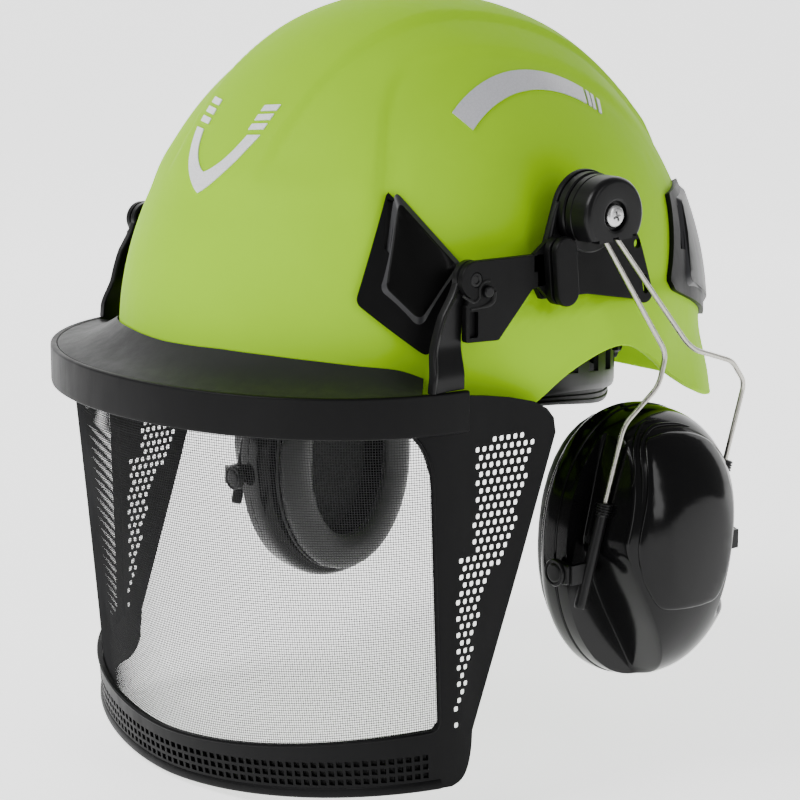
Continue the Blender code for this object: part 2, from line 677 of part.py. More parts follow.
def oval(x, scale_y, scale_z, side, steps=28, power=2.2, lift=0.0):
    """A ring of the cup's leaning oval at a station along X."""
    ring = []
    m = 2 / power
    for j in range(steps):
        a = 2 * math.pi * j / steps
        y = scale_y * signed_power(math.cos(a), m)
        z = scale_z * signed_power(math.sin(a), m) + lift
        ry = y * math.cos(CUP_TILT) + z * math.sin(CUP_TILT)
        rz = -y * math.sin(CUP_TILT) + z * math.cos(CUP_TILT)
        ring.append(v(side * x, CUP_Y + ry, CUP_Z + rz))
    return ring


# D-shaped cover: (height from the oval's centre, front edge, rear edge)
COVER_EDGES = ((-21.0, -18.0, 14.0), (-11.0, -23.5, 19.0), (0.0, -25.5, 22.0), (10.0, -25.0, 24.0),
               (20.0, -22.0, 26.0), (30.0, -20.0, 27.0), (37.0, -18.0, 25.0), (43.0, -15.5, 20.0),
               (47.0, -10.0, 11.0))
COVER_OFFSETS = (1.1, 2.6)       # its two faces, outwards from the dome along X
DOME_ROUNDING = 2.6


def dome_point(y, z, side, offset):
    """Point on the cup's dome at a place on its leaning oval, or offset from it along X."""
    reach = (abs(y / CUP_HALF_WIDTH) ** 2.2 + abs(z / CUP_HALF_HEIGHT) ** 2.2) ** (1 / 2.2)
    x = CUP_SHELL_X + (CUP_CROWN_X - CUP_SHELL_X) * (1 - reach * reach) ** (1 / DOME_ROUNDING) + offset
    ry = y * math.cos(CUP_TILT) + z * math.sin(CUP_TILT)
    rz = -y * math.sin(CUP_TILT) + z * math.cos(CUP_TILT)
    return v(side * x, CUP_Y + ry, CUP_Z + rz)


def cup(side, label):
    """Hollow outer shell, D-shaped cover, back ring, sealing cushion and foam insert."""
    w, h = CUP_HALF_WIDTH, CUP_HALF_HEIGHT
    origin = v(side * PIVOT_X, CUP_Y, PIVOT_Z)
    depth = CUP_CROWN_X - CUP_SHELL_X
    rings = [oval(CUP_SHELL_X, w - 14, h - 14, side)]
    rings.append(oval(CUP_SHELL_X, w - 0.6, h - 0.6, side))
    for t in (0.22, 0.45, 0.66, 0.84, 0.96):
        pull = math.sqrt(1 - t ** DOME_ROUNDING)
        rings.append(oval(CUP_SHELL_X + depth * t, (w - 0.6) * pull, (h - 0.6) * pull, side))
    rings.append(oval(CUP_CROWN_X, w * 0.16, h * 0.16, side))
    inner = [(0.80, 0.14), (0.74, 0.34), (0.58, 0.5), (0.3, 0.58)]
    rings += [oval(CUP_SHELL_X + depth * t, w * k, h * k, side) for t, k in inner]
    bm = bmesh.new()
    loops = [[bm.verts.new(p) for p in ring] for ring in rings]
    order = loops[:8]
    hollow = loops[8:] + [loops[0]]
    for chain in (order, hollow):
        for a, b in zip(chain, chain[1:]):
            n = len(a)
            for j in range(n):
                bm.faces.new((a[j], a[(j + 1) % n], b[(j + 1) % n], b[j]))
    bm.faces.new(order[-1])
    bm.faces.new(list(reversed(hollow[0])))
    shell_obj = finish(f"cup_shell_{label}", bm, GLOSS_BLACK, origin)
    top_z, low_z = 30.0, -73.0
    for place, leg, sign, reach in (("front", FRONT_LEG, -1, 60), ("rear", REAR_LEG, 1, 60)):
        bm = bmesh.new()
        wall_low = leg_point(leg, low_z).y - sign * 5.2
        wall_top = leg_point(leg, top_z).y - sign * 5.2
        outline = [(wall_low, low_z), (wall_low + sign * reach, low_z), (wall_top + sign * reach, top_z),
                   (wall_top, top_z)]
        prism(bm, outline, side * 109.5, side * 150.0)
        cut(shell_obj, cutter(f"cup_recess_{place}_{label}", bm))

    outer, inner = [], []
    for z, front, rear in COVER_EDGES:
        row_out, row_in = [], []
        for k in range(7):
            y = front + (rear - front) * k / 6
            row_in.append(dome_point(y, z, side, COVER_OFFSETS[0]))
            row_out.append(dome_point(y, z, side, COVER_OFFSETS[1]))
        outer.append(row_out)
        inner.append(row_in)
    sheet(f"cup_cover_{label}", outer, inner, GLOSS_BLACK, origin=origin)

    ring_back = [oval(CUP_RING_X, 27, 41, side), oval(CUP_RING_X, w - 2.5, h - 2.5, side),
                 oval(CUP_RING_X + 4.0, w, h, side), oval(CUP_SHELL_X - GAP, w, h, side),
                 oval(CUP_SHELL_X - GAP, 27, 41, side)]
    loft(f"cup_ring_{label}", ring_back, GLOSS_BLACK, origin, closed=True)

    cushion = [oval(CUP_FACE_X, 20, 33, side), oval(CUP_FACE_X, 33, 47, side),
               oval(CUP_FACE_X + 3.5, 38.5, 53, side), oval(CUP_RING_X - 2.5, 39.5, 54, side),
               oval(CUP_RING_X - GAP, 36.5, 51, side), oval(CUP_RING_X - GAP, 24, 37, side),
               oval(CUP_FACE_X + 4.5, 17.5, 30.5, side)]
    loft(f"cup_cushion_{label}", cushion, PAD_FOAM, origin, closed=True)

    foam = [oval(98.0, 25.5, 39, side, 20), oval(CUP_SHELL_X + 7.0, 23.0, 31, side, 20)]
    loft(f"cup_foam_{label}", foam, PAD_FOAM, origin)

    front_y = CUP_Y - w - 1.2
    rear_y = CUP_Y + w + 1.2
    yoke(side, label, "front", FRONT_LEG, SLEEVE_FRONT_Z, front_y, 1)
    yoke(side, label, "rear", REAR_LEG, SLEEVE_REAR_Z, rear_y, -1)


# ---------------------------------------------------------------- visor
def half_plan(angle, half_width, depth, centre_y, power):
    """Point of a half superellipse at -90..90 degrees, carried straight back beyond that."""
    m = 2 / power
    a = math.radians(max(-90.0, min(90.0, angle)))
    x = half_width * signed_power(math.sin(a), m)
    y = centre_y - depth * abs(math.cos(a)) ** m
    return x, y


def visor_point(angle, z, inset=0.0):
    half_width = VISOR_WIDTH_0 + VISOR_WIDTH_SLOPE * z - inset
    depth = VISOR_DEPTH_0 + VISOR_DEPTH_SLOPE * min(z, 8.0) - inset
    x, y = half_plan(angle, half_width, depth, VISOR_CENTRE_Y, VISOR_POWER)
    return Vector((x, y, z))


def rear_edge(z):
    """Rear edge of the side panel, rounded at its upper and lower corners."""
    return along_table(PANEL_REAR, z)


def visor_rows():
    """Row heights as (front height, rise at the sides)."""
    rows = [(VISOR_TOP, 0.0), (VISOR_TOP - 3.0, 0.0), (WINDOW_TOP, 0.0), (12.0, 0.0), (0.0, 0.0)]
    for i in range(1, 5):
        t = i / 4
        rows.append((WINDOW_BOTTOM_FRONT * t, WINDOW_BOTTOM_RISE * t))
    rows.append(((WINDOW_BOTTOM_FRONT + VISOR_BOTTOM_FRONT) / 2, 14.0))
    rows.append((VISOR_BOTTOM_FRONT, VISOR_BOTTOM_RISE))
    return rows


def visor_frame():
    """Side panels, bottom strip and top strip round the mesh window, in one moulding."""
    origin = v(0, HINGE_Y, HINGE_Z)
    window = [-WINDOW_HALF_ANGLE + 2 * WINDOW_HALF_ANGLE * i / 22 for i in range(23)]
    sides = 5
    outer, inner = [], []
    for front, rise in visor_rows():
        for grid, inset in ((outer, 0.0), (inner, VISOR_WALL)):
            row = []
            for k in range(-sides, len(window) + sides):
                if 0 <= k < len(window):
                    angle = window[k]
                    z = front + rise * math.sin(math.radians(angle)) ** 2
                    p = visor_point(angle, z, inset)
                else:
                    sign = -1 if k < 0 else 1
                    step = -k if k < 0 else k - len(window) + 1
                    z = front + rise
                    corner = visor_point(sign * 90, z, inset)
                    if step == 1:
                        p = visor_point(sign * 84, z, inset)
                    elif step == 2:
                        p = corner
                    else:
                        t = (step - 2) / (sides - 2)
                        p = Vector((corner.x, VISOR_CENTRE_Y + (rear_edge(z) - VISOR_CENTRE_Y) * t, z))
                row.append(p * 0.001)
            grid.append(row)
    first_window_row, last_window_row = 2, 8

    def hole(i, j):
        return first_window_row <= i < last_window_row and sides <= j < sides + len(window) - 1

    return sheet("visor_frame", outer, inner, BLACK_PLASTIC, hole=hole, origin=origin)


def visor_mesh():
    """Woven mesh behind the window, overlapping the frame all round."""
    margin = 4.0
    near = VISOR_WALL + GAP + 0.1
    outer, inner = [], []
    for i in range(6):
        t = i / 5
        front = WINDOW_TOP + 3 + (WINDOW_BOTTOM_FRONT - margin - WINDOW_TOP - 3) * t
        rise = WINDOW_BOTTOM_RISE * max(0.0, (t - 0.15) / 0.85)
        for grid, inset in ((outer, near), (inner, near + MESH_THICKNESS)):
            row = []
            for j in range(25):
                angle = -(WINDOW_HALF_ANGLE + 2) + (2 * WINDOW_HALF_ANGLE + 4) * j / 24
                z = front + rise * math.sin(math.radians(angle)) ** 2
                row.append(visor_point(angle, z, inset) * 0.001)
            grid.append(row)
    return sheet("visor_mesh", outer, inner, VISOR_GAUZE, origin=v(0, HINGE_Y, HINGE_Z))


def brow_band():
    """Rigid band across the brow that carries the visor between the two arms."""
    steps = 36
    outer, inner = [], []
    for z, tuck in ((BAND_TOP, 0.6), (BAND_TOP - 1.5, 0.0), (BAND_BOTTOM + 1.0, 0.0), (BAND_BOTTOM, 0.5)):
        row_out, row_in = [], []
        for j in range(steps + 1):
            angle = -BAND_END + 2 * BAND_END * j / steps
            for row, inset in ((row_out, tuck), (row_in, BAND_WALL)):
                half_width, depth = BAND_HALF_WIDTH - inset, BAND_DEPTH - inset
                x, y = half_plan(angle, half_width, depth, BAND_CENTRE_Y, BAND_POWER)
                row.append(v(x, y, z))
        outer.append(row_out)
        inner.append(row_in)
    return sheet("brow_band", outer, inner, BLACK_PLASTIC, origin=v(0, HINGE_Y, HINGE_Z))


# height at which the flap meets the shell: (plan angle, height)
FLAP_LINE = ((0, 40.4), (16, 41.2), (28, 40.4), (38, 39.0), (46, 37.4), (52.5, 36.2), (56, 34.4), (60, 30.5))


def brow_flap():
    """Rubber flap that bridges from the band's upper rim to the shell."""
    steps, across = 24, 4
    outer, inner = [], []
    for i in range(across + 1):
        t = i / across
        row_out, row_in = [], []
        for j in range(steps + 1):
            s = -1 + 2 * j / steps
            shell_angle = 58.5 * s
            at_shell = shell(shell_angle, along_table(FLAP_LINE, abs(shell_angle)), 0.9)
            x, y = half_plan(74.5 * s, BAND_HALF_WIDTH - BAND_WALL - GAP, BAND_DEPTH - BAND_WALL - GAP,
                             BAND_CENTRE_Y, BAND_POWER)
            at_band = Vector((x, y, BAND_TOP - 0.3))
            p = at_shell.lerp(at_band, t)
            p.z -= 2.6 * math.sin(math.pi * t) * (1 - 0.5 * t)
            row_out.append(p * 0.001)
            row_in.append((p + Vector((0, 0, -FLAP_THICKNESS))) * 0.001)
        outer.append(row_out)
        inner.append(row_in)
    return sheet("brow_flap", outer, inner, GREY_RUBBER, origin=v(0, HINGE_Y, HINGE_Z))


# ---------------------------------------------------------------- head harness
def ring_point(angle, z, offset=0.0):
    """Point of the headband's oval; angle 0 is the front."""
    a = math.radians(angle)
    return Vector(((BAND_RING_HALF_WIDTH + offset) * math.sin(a),
                   BAND_RING_CENTRE_Y - (BAND_RING_HALF_LENGTH + offset) * math.cos(a), z))


def band_low(angle):
    """Lower edge of the headband, dipping towards the nape."""
    folded = abs((angle + 180) % 360 - 180)
    return 12.0 - 8.0 * smooth_step(95, 150, folded)


def band_high(angle):
    return band_low(angle) + HEADBAND_HEIGHT


def arc_strip(name, start, stop, steps, low, high, near, far, mat, wrap=False, origin=None):
    """A strip along the headband's oval between two angles, heights and offsets."""
    outer, inner = [], []
    count = steps if wrap else steps + 1
    for level in (0.0, 1.0):
        row_out, row_in = [], []
        for j in range(count):
            angle = start + (stop - start) * j / steps
            z = low(angle) * (1 - level) + high(angle) * level
            row_out.append(ring_point(angle, z, far) * 0.001)
            row_in.append(ring_point(angle, z, near) * 0.001)
        outer.append(row_out)
        inner.append(row_in)
    return sheet(name, outer, inner, mat, wrap=wrap, origin=origin)


KNOB_Z, KNOB_RADIUS = 16.5, 14.5
HOUSING_DEPTH = 9.0              # how far the ratchet's housing stands off the headband
CLIP_ANGLES = {"front_left": 42, "rear_left": 140, "rear_right": 220, "front_right": 318}
CLIP_Z = (44.0, 56.0)
CLIP_CLEARANCE = 0.6             # between a clip's block and the shell's inside
CLIP_TONGUE = 2.6                # thickness of the tongue behind the headband
CLIP_OVERLAP = 9.0               # how far the tongue reaches below the headband's upper edge


def clip_point(angle, z, reach):
    """Point between the headband (reach 0) and the shell's inside (reach 1)."""
    inner = ring_point(angle, z, HEADBAND_WALL + GAP)
    outer = shell(angle, z, -SHELL_WALL - CLIP_CLEARANCE)
    return inner.lerp(outer, reach)


def suspension_clip(name, angle):
    """Clip on the shell's inside: a block that takes a strap end, with a tongue that holds the headband."""
    tongue_low = band_high(angle) - CLIP_OVERLAP
    rows_out, rows_in = [], []
    for z, near, far in ((CLIP_Z[1], 0.45, 1.0), (CLIP_Z[0] + 2.0, 0.0, 1.0)):
        rows_out.append([clip_point(angle + da, z, far) * 0.001 for da in (-8, 0, 8)])
        rows_in.append([clip_point(angle + da, z, near) * 0.001 for da in (-8, 0, 8)])
    for z in (CLIP_Z[0], tongue_low):
        near = HEADBAND_WALL + GAP
        rows_out.append([ring_point(angle + da, z, near + CLIP_TONGUE) * 0.001 for da in (-8, 0, 8)])
        rows_in.append([ring_point(angle + da, z, near) * 0.001 for da in (-8, 0, 8)])
    return sheet(name, rows_out, rows_in, BLACK_PLASTIC)


def crown_strap(name, first, second, apex, width=19.0, thickness=1.4):
    """Webbing strap from one clip over the crown to the clip opposite."""
    steps = 16
    start = clip_point(CLIP_ANGLES[first], CLIP_Z[1] + GAP, 0.7)
    stop = clip_point(CLIP_ANGLES[second], CLIP_Z[1] + GAP, 0.7)
    across = (stop - start).cross(Vector((0, 0, 1))).normalized()
    outer, inner = [], []
    for i in range(steps + 1):
        a = math.pi * i / steps
        along = 0.5 - 0.5 * signed_power(math.cos(a), 0.8)
        p = start.lerp(stop, along)
        p.z += (apex - start.z) * math.sin(a) ** 0.8
        tangent_flat = (stop - start).normalized()
        slope_in = tangent_flat * math.cos(a) + Vector((0, 0, -1)) * 0.6
        inward = (slope_in + Vector((0, 0, -0.6)) * math.sin(a)).normalized()
        if i in (0, steps):
            inward = tangent_flat * (1 if i == 0 else -1)
        outer.append([(p + across * width * k) * 0.001 for k in (-0.5, 0.5)])
        inner.append([(p + across * width * k + inward * thickness) * 0.001 for k in (-0.5, 0.5)])
    return sheet(name, outer, inner, WEBBING)


def harness():
    arc_strip("headband", 0, 360, 48, band_low, band_high, 0.0, HEADBAND_WALL, BLACK_PLASTIC, wrap=True)
    arc_strip("brow_pad", -62, 62, 18, lambda a: band_low(a) + 1.0, lambda a: band_high(a) - 1.0,
              -6.5, -GAP, PAD_FOAM)
    for name, angle in CLIP_ANGLES.items():
        suspension_clip(f"suspension_clip_{name}", angle)
    crown_strap("crown_strap_upper", "front_left", "rear_right", 138.0)
    crown_strap("crown_strap_lower", "front_right", "rear_left", 134.5)
    outside = HEADBAND_WALL + GAP
    arc_strip("ratchet_housing", 163, 197, 6, lambda a: KNOB_Z - 11.0, lambda a: KNOB_Z + 11.0,
              outside, outside + HOUSING_DEPTH, BLACK_PLASTIC)
    knob_y = BAND_RING_CENTRE_Y + BAND_RING_HALF_LENGTH + outside + HOUSING_DEPTH + GAP
    knob_profile = [(0, KNOB_RADIUS - 1.5), (1.5, KNOB_RADIUS), (8.5, KNOB_RADIUS),
                    (10.0, KNOB_RADIUS - 1.5)]
    knob = turned_rings(v(0, knob_y, KNOB_Z), Vector((0, 1, 0)), knob_profile, 24)
    loft("ratchet_knob", knob, BLACK_PLASTIC, v(0, knob_y, KNOB_Z))


NAPE_WALL = 2.4


def nape_strap():
    """Curved cradle below the headband, hinged at its two forward ends; its rear dips lower."""
    outer, inner = [], []
    for level in (0.0, 1.0):
        row_out, row_in = [], []
        for j in range(23):
            angle = 84 + 192 * j / 22
            folded = abs(angle - 180)
            dip = smooth_step(92, 40, folded)
            z_high = 14.0 - 6.0 * dip
            z_low = z_high - 6.0 - 3.0 * dip
            z = z_low * (1 - level) + z_high * level
            row_out.append(ring_point(angle, z, -0.6) * 0.001)
            row_in.append(ring_point(angle, z, -0.6 - NAPE_WALL) * 0.001)
        outer.append(row_out)
        inner.append(row_in)
    return sheet("nape_strap", outer, inner, BLACK_PLASTIC, origin=v(0, BAND_RING_CENTRE_Y, 7.0))


# ---------------------------------------------------------------- assembly
def main():
    shell_obj = helmet_shell()
    vents(shell_obj)
    reflectors()
    for side, label in ((1, "left"), (-1, "right")):
        slot_adapter(side, label)
        ear_bracket(side, label)
        visor_bracket(side, label)
        hinge_pin(side, label)
        visor_arm(side, label)
        drum(side, label)
        ear_wire(side, label)
        cup(side, label)
    brow_band()
    brow_flap()
    visor_frame()
    visor_mesh()
    harness()
    nape_strap()


main()
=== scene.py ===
"""Looks for the forestry helmet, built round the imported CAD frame.

Design code below works in millimetres in the frame's axes: +Z up, -Y the front, +X the wearer's left.
"""
import json
import math

import bmesh
import bpy
import numpy as np
from mathutils import Matrix, Vector
from mathutils.geometry import delaunay_2d_cdt

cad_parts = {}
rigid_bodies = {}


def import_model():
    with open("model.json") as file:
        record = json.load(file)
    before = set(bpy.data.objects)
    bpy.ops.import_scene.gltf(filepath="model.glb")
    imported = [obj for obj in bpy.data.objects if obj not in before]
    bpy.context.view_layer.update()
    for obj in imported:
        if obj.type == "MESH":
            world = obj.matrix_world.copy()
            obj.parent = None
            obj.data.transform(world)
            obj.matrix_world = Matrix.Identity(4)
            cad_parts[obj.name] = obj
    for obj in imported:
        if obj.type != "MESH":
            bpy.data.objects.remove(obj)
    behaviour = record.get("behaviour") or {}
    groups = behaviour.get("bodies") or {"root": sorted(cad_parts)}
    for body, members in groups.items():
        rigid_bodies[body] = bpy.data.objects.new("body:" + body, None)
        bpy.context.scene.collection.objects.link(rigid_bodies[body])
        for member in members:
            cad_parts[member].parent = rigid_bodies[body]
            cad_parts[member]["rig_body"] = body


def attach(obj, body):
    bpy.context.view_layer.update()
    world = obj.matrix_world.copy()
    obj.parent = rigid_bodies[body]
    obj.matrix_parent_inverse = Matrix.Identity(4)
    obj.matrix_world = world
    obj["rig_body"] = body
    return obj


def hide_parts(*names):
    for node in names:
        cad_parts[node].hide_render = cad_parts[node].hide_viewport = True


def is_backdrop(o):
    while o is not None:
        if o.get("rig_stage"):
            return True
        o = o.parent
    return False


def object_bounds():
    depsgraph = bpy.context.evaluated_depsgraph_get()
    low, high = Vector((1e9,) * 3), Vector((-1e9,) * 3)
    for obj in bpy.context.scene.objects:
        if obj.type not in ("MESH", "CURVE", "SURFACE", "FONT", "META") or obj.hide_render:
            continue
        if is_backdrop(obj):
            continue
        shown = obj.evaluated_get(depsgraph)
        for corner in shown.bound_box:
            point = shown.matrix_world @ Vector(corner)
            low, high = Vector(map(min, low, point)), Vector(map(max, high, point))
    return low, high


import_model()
cad_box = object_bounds()
MM = 0.001
SIDES = ((1, "left"), (-1, "right"))


# ---------------------------------------------------------------- materials
def principled(name, colour, roughness, metallic=0.0, **sockets):
    mat = bpy.data.materials.new(name)
    mat.use_nodes = True
    shader = mat.node_tree.nodes["Principled BSDF"]
    shader.inputs["Base Color"].default_value = (*colour, 1.0)
    shader.inputs["Roughness"].default_value = roughness
    shader.inputs["Metallic"].default_value = metallic
    for key, value in sockets.items():
        shader.inputs[key.replace("_", " ")].default_value = value
    mat.diffuse_color = (*colour, 1.0)
    return mat


def node(mat, kind, **settings):
    made = mat.node_tree.nodes.new(kind)
    for key, value in settings.items():
        setattr(made, key, value)
    return made


def join(mat, source, target):
    mat.node_tree.links.new(source, target)


def place(mat, scale=(1.0, 1.0, 1.0)):
    """Object-space coordinates, stretched."""
    coords = node(mat, "ShaderNodeTexCoord")
    mapping = node(mat, "ShaderNodeMapping")
    mapping.inputs["Scale"].default_value = scale
    join(mat, coords.outputs["Object"], mapping.inputs["Vector"])
    return mapping.outputs["Vector"]


def noise(mat, scale, detail=3.0, roughness=0.55, vector=None):
    tex = node(mat, "ShaderNodeTexNoise")
    tex.inputs["Scale"].default_value = scale
    tex.inputs["Detail"].default_value = detail
    tex.inputs["Roughness"].default_value = roughness
    join(mat, vector or place(mat), tex.inputs["Vector"])
    return tex.outputs["Fac"]


def vary_roughness(mat, value, low, high):
    """Roughness from low to high over the middle of a texture value's range."""
    made = node(mat, "ShaderNodeMapRange")
    for key, number in (("From Min", 0.3), ("From Max", 0.7), ("To Min", low), ("To Max", high)):
        made.inputs[key].default_value = number
    join(mat, value, made.inputs["Value"])
    join(mat, made.outputs["Result"], shader_of(mat).inputs["Roughness"])


def maths(mat, operation, first, second):
    made = node(mat, "ShaderNodeMath", operation=operation)
    for socket, value in zip(made.inputs, (first, second)):
        if isinstance(value, (int, float)):
            socket.default_value = value
        else:
            join(mat, value, socket)
    return made.outputs[0]


def weighted(mat, first, second, share):
    """Two texture values added up, the first with this share."""
    return maths(mat, "ADD", maths(mat, "MULTIPLY", first, share), maths(mat, "MULTIPLY", second, 1 - share))


def cells(mat, feature, scale):
    tex = node(mat, "ShaderNodeTexVoronoi", feature=feature)
    tex.inputs["Scale"].default_value = scale
    join(mat, place(mat), tex.inputs["Vector"])
    return tex.outputs["Distance"]


def shader_of(mat):
    return mat.node_tree.nodes["Principled BSDF"]


def vary_colour(mat, value, dark, light, low=0.35, high=0.65):
    """Base colour from dark to light as a texture value rises."""
    ramp = node(mat, "ShaderNodeValToRGB")
    ramp.color_ramp.elements[0].position = low
    ramp.color_ramp.elements[0].color = (*dark, 1.0)
    ramp.color_ramp.elements[1].position = high
    ramp.color_ramp.elements[1].color = (*light, 1.0)
    join(mat, value, ramp.inputs["Fac"])
    join(mat, ramp.outputs["Color"], shader_of(mat).inputs["Base Color"])


def bump(mat, height, strength, distance):
    made = node(mat, "ShaderNodeBump")
    made.inputs["Strength"].default_value = strength
    made.inputs["Distance"].default_value = distance
    join(mat, height, made.inputs["Height"])
    join(mat, made.outputs["Normal"], shader_of(mat).inputs["Normal"])


def scaled(colour, factor):
    return tuple(min(1.0, c * factor) for c in colour)


def moulded(name, colour, roughness, grain, depth, spread, specular):
    """Moulded plastic: fine grain, slightly uneven colour and polish, faint handling scuffs."""
    mat = principled(name, colour, roughness, Specular_IOR_Level=specular)
    broad = noise(mat, 22.0, 4.0)
    vary_colour(mat, broad, scaled(colour, 1 - spread), scaled(colour, 1 + spread))
    scuffs = noise(mat, 160.0, 6.0, 0.7, place(mat, (1.0, 1.0, 0.25)))
    vary_roughness(mat, weighted(mat, broad, scuffs, 0.4), roughness * 0.82, roughness * 1.2)
    bump(mat, noise(mat, grain, 2.0), 0.35, depth)
    return mat


def waves(mat, scale, direction):
    tex = node(mat, "ShaderNodeTexWave", wave_type="BANDS", bands_direction=direction)
    tex.inputs["Scale"].default_value = scale
    tex.inputs["Distortion"].default_value = 0.0
    join(mat, place(mat), tex.inputs["Vector"])
    return tex.outputs["Fac"]


def woven(name, colour, scale, roughness):
    """Cloth: crossing threads with a fibrous grain; the colour is darker in the gaps between threads as
    painted shade and lighter on the threads as painted highlight.
    """
    mat = principled(name, colour, roughness, Sheen_Weight=0.25)
    threads = maths(mat, "MAXIMUM", waves(mat, scale, "X"), waves(mat, scale, "Z"))
    cloth = weighted(mat, threads, noise(mat, 1400.0, 4.0, 0.7), 0.7)
    # colour follows the weave's height: darker in the gaps (painted shade), lighter on the thread tops
    # (painted highlight)
    vary_colour(mat, cloth, scaled(colour, 0.55), scaled(colour, 1.5), 0.25, 0.8)
    bump(mat, cloth, 0.6, 0.00025)
    return mat


def steel(name, colour, roughness, stretch):
    """Drawn steel: fine streaks along the wire and a little tarnish."""
    mat = principled(name, colour, roughness, 1.0)
    streaks = noise(mat, 900.0, 3.0, 0.6, place(mat, stretch))
    vary_colour(mat, noise(mat, 60.0, 4.0), scaled(colour, 0.82), colour)
    vary_roughness(mat, streaks, roughness * 0.7, roughness * 1.4)
    bump(mat, streaks, 0.25, 0.00002)
    return mat


def reflective(name, colour):
    """Glass-bead reflective film: a fine honeycomb of cells under a clear face."""
    mat = principled(name, colour, 0.34, Coat_Weight=0.4, Coat_Roughness=0.12)
    vary_colour(mat, cells(mat, "DISTANCE_TO_EDGE", 620.0), scaled(colour, 0.9), colour, 0.02, 0.12)
    bump(mat, noise(mat, 1200.0), 0.2, 0.00002)
    return mat


def leatherette(name, colour):
    """Soft synthetic skin: pebbled grain and shallow creases; the colour is darker in the creases' hollows
    and lighter on the rises, as painted shade and highlight.
    """
    mat = principled(name, colour, 0.45, Sheen_Weight=0.1)
    grain = cells(mat, "F1", 900.0)
    creases = noise(mat, 90.0, 5.0, 0.6)
    # colour follows the creases' height: darker in the hollows (painted shade), lighter on the rises (painted
    # highlight)
    vary_colour(mat, creases, scaled(colour, 0.7), scaled(colour, 1.35))
    vary_roughness(mat, creases, 0.36, 0.56)
    bump(mat, weighted(mat, grain, creases, 0.4), 0.5, 0.00012)
    return mat


def foam(name, colour):
    """Open-cell foam."""
    mat = principled(name, colour, 0.95)
    pores = cells(mat, "F1", 700.0)
    vary_colour(mat, pores, scaled(colour, 1.5), scaled(colour, 0.3), 0.1, 0.7)
    bump(mat, pores, 0.8, 0.0004)
    return mat


# name, colour, roughness, scale of the grain, its depth in metres, spread of the colour, specular level
GREEN = moulded("shell_green", (0.31, 0.6, 0.002), 0.6, 700.0, 0.00003, 0.02, 0.05)
BLACK = moulded("black_plastic", (0.0028, 0.0028, 0.003), 0.46, 1500.0, 0.00005, 0.2, 0.11)
BLACK_SATIN = moulded("black_satin", (0.004, 0.004, 0.0043), 0.34, 1200.0, 0.00002, 0.2, 0.2)
PANEL_BLACK = moulded("vent_panel_black", (0.0025, 0.0025, 0.0025), 0.32, 1200.0, 0.00002, 0.2, 0.1)
LIP_GREY = moulded("vent_lip_grey", (0.022, 0.022, 0.024), 0.4, 1500.0, 0.00003, 0.15, 0.3)
VISOR_BLACK = moulded("visor_frame_black", (0.003, 0.003, 0.0033), 0.46, 1800.0, 0.00005, 0.15, 0.1)
GLOSS = moulded("gloss_black", (0.0024, 0.0024, 0.0026), 0.13, 500.0, 0.000012, 0.2, 0.18)
RUBBER = moulded("flap_rubber", (0.016, 0.016, 0.017), 0.5, 2600.0, 0.00005, 0.1, 0.15)
GAUZE = moulded("visor_gauze", (0.026, 0.026, 0.027), 0.6, 2500.0, 0.00002, 0.2, 0.05)
# deep matte black for painted shade: sheets and lines where only shade is seen (vent slots, strip holes,
# hinge groove); cut() also gives it to its cutting tools
SHADE_BLACK = principled("deep_black", (0.002, 0.002, 0.002), 0.9)
bump(SHADE_BLACK, noise(SHADE_BLACK, 900.0), 0.3, 0.00005)
STEEL = steel("spring_steel", (0.5, 0.485, 0.44), 0.28, (1.0, 1.0, 0.06))
SCREW_STEEL = steel("screw_steel", (0.66, 0.66, 0.66), 0.32, (0.3, 1.0, 1.0))
FILM_WHITE = reflective("film_white", (0.8, 0.8, 0.83))
FILM_GREY = reflective("film_grey", (0.5, 0.5, 0.54))
WEBBING = woven("strap_webbing", (0.012, 0.012, 0.013), 420.0, 0.85)
PAD_CLOTH = woven("pad_cloth", (0.014, 0.014, 0.015), 520.0, 0.9)
CUSHION_SKIN = leatherette("cushion_skin", (0.008, 0.008, 0.0088))
FOAM = foam("cup_foam", (0.012, 0.012, 0.013))
# the frame's slot for each material; every other material belongs to its black plastic
SLOTS = {GREEN: "shell_green", GLOSS: "gloss_black", RUBBER: "grey_rubber", GAUZE: "visor_gauze",
         STEEL: "steel_wire", SCREW_STEEL: "steel_wire", FILM_WHITE: "reflective", FILM_GREY: "reflective",
         WEBBING: "webbing", PAD_CLOTH: "pad_foam", CUSHION_SKIN: "cushion_skin", FOAM: "pad_foam"}


# ---------------------------------------------------------------- mesh tools
def smooth_step(a, b, x):
    t = min(1.0, max(0.0, (x - a) / (b - a)))
    return t * t * (3 - 2 * t)


def along_table(table, x):
    """Straight-line reading between the points of a (position, value) table."""
    for (x0, y0), (x1, y1) in zip(table, table[1:]):
        if x <= x1:
            t = max(0.0, (x - x0) / (x1 - x0))
            return y0 + (y1 - y0) * t
    return table[-1][1]


def signed_power(value, power):
    return math.copysign(abs(value) ** power, value)


def build(name, points, faces, mat, body, slot, sharp=35.0, replaces=(), mats=None, picks=None):
    """An object from points in millimetres; faces turned outwards, riding on its body."""
    bm = bmesh.new()
    verts = [bm.verts.new(Vector(p) * MM) for p in points]
    for i, face in enumerate(faces):
        bm.faces.new([verts[k] for k in face]).material_index = picks[i] if picks else 0
    bmesh.ops.recalc_face_normals(bm, faces=bm.faces)
    if bm.calc_volume(signed=True) < 0:
        bmesh.ops.reverse_faces(bm, faces=bm.faces)
    mesh = bpy.data.meshes.new(name)
    bm.to_mesh(mesh)
    bm.free()
    for each in mats or [mat]:
        mesh.materials.append(each)
    mesh.shade_smooth()
    mesh.set_sharp_from_angle(angle=math.radians(sharp))
    obj = bpy.data.objects.new(name, mesh)
    bpy.context.scene.collection.objects.link(obj)
    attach(obj, body)
    if replaces:
        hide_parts(*replaces)
    return obj


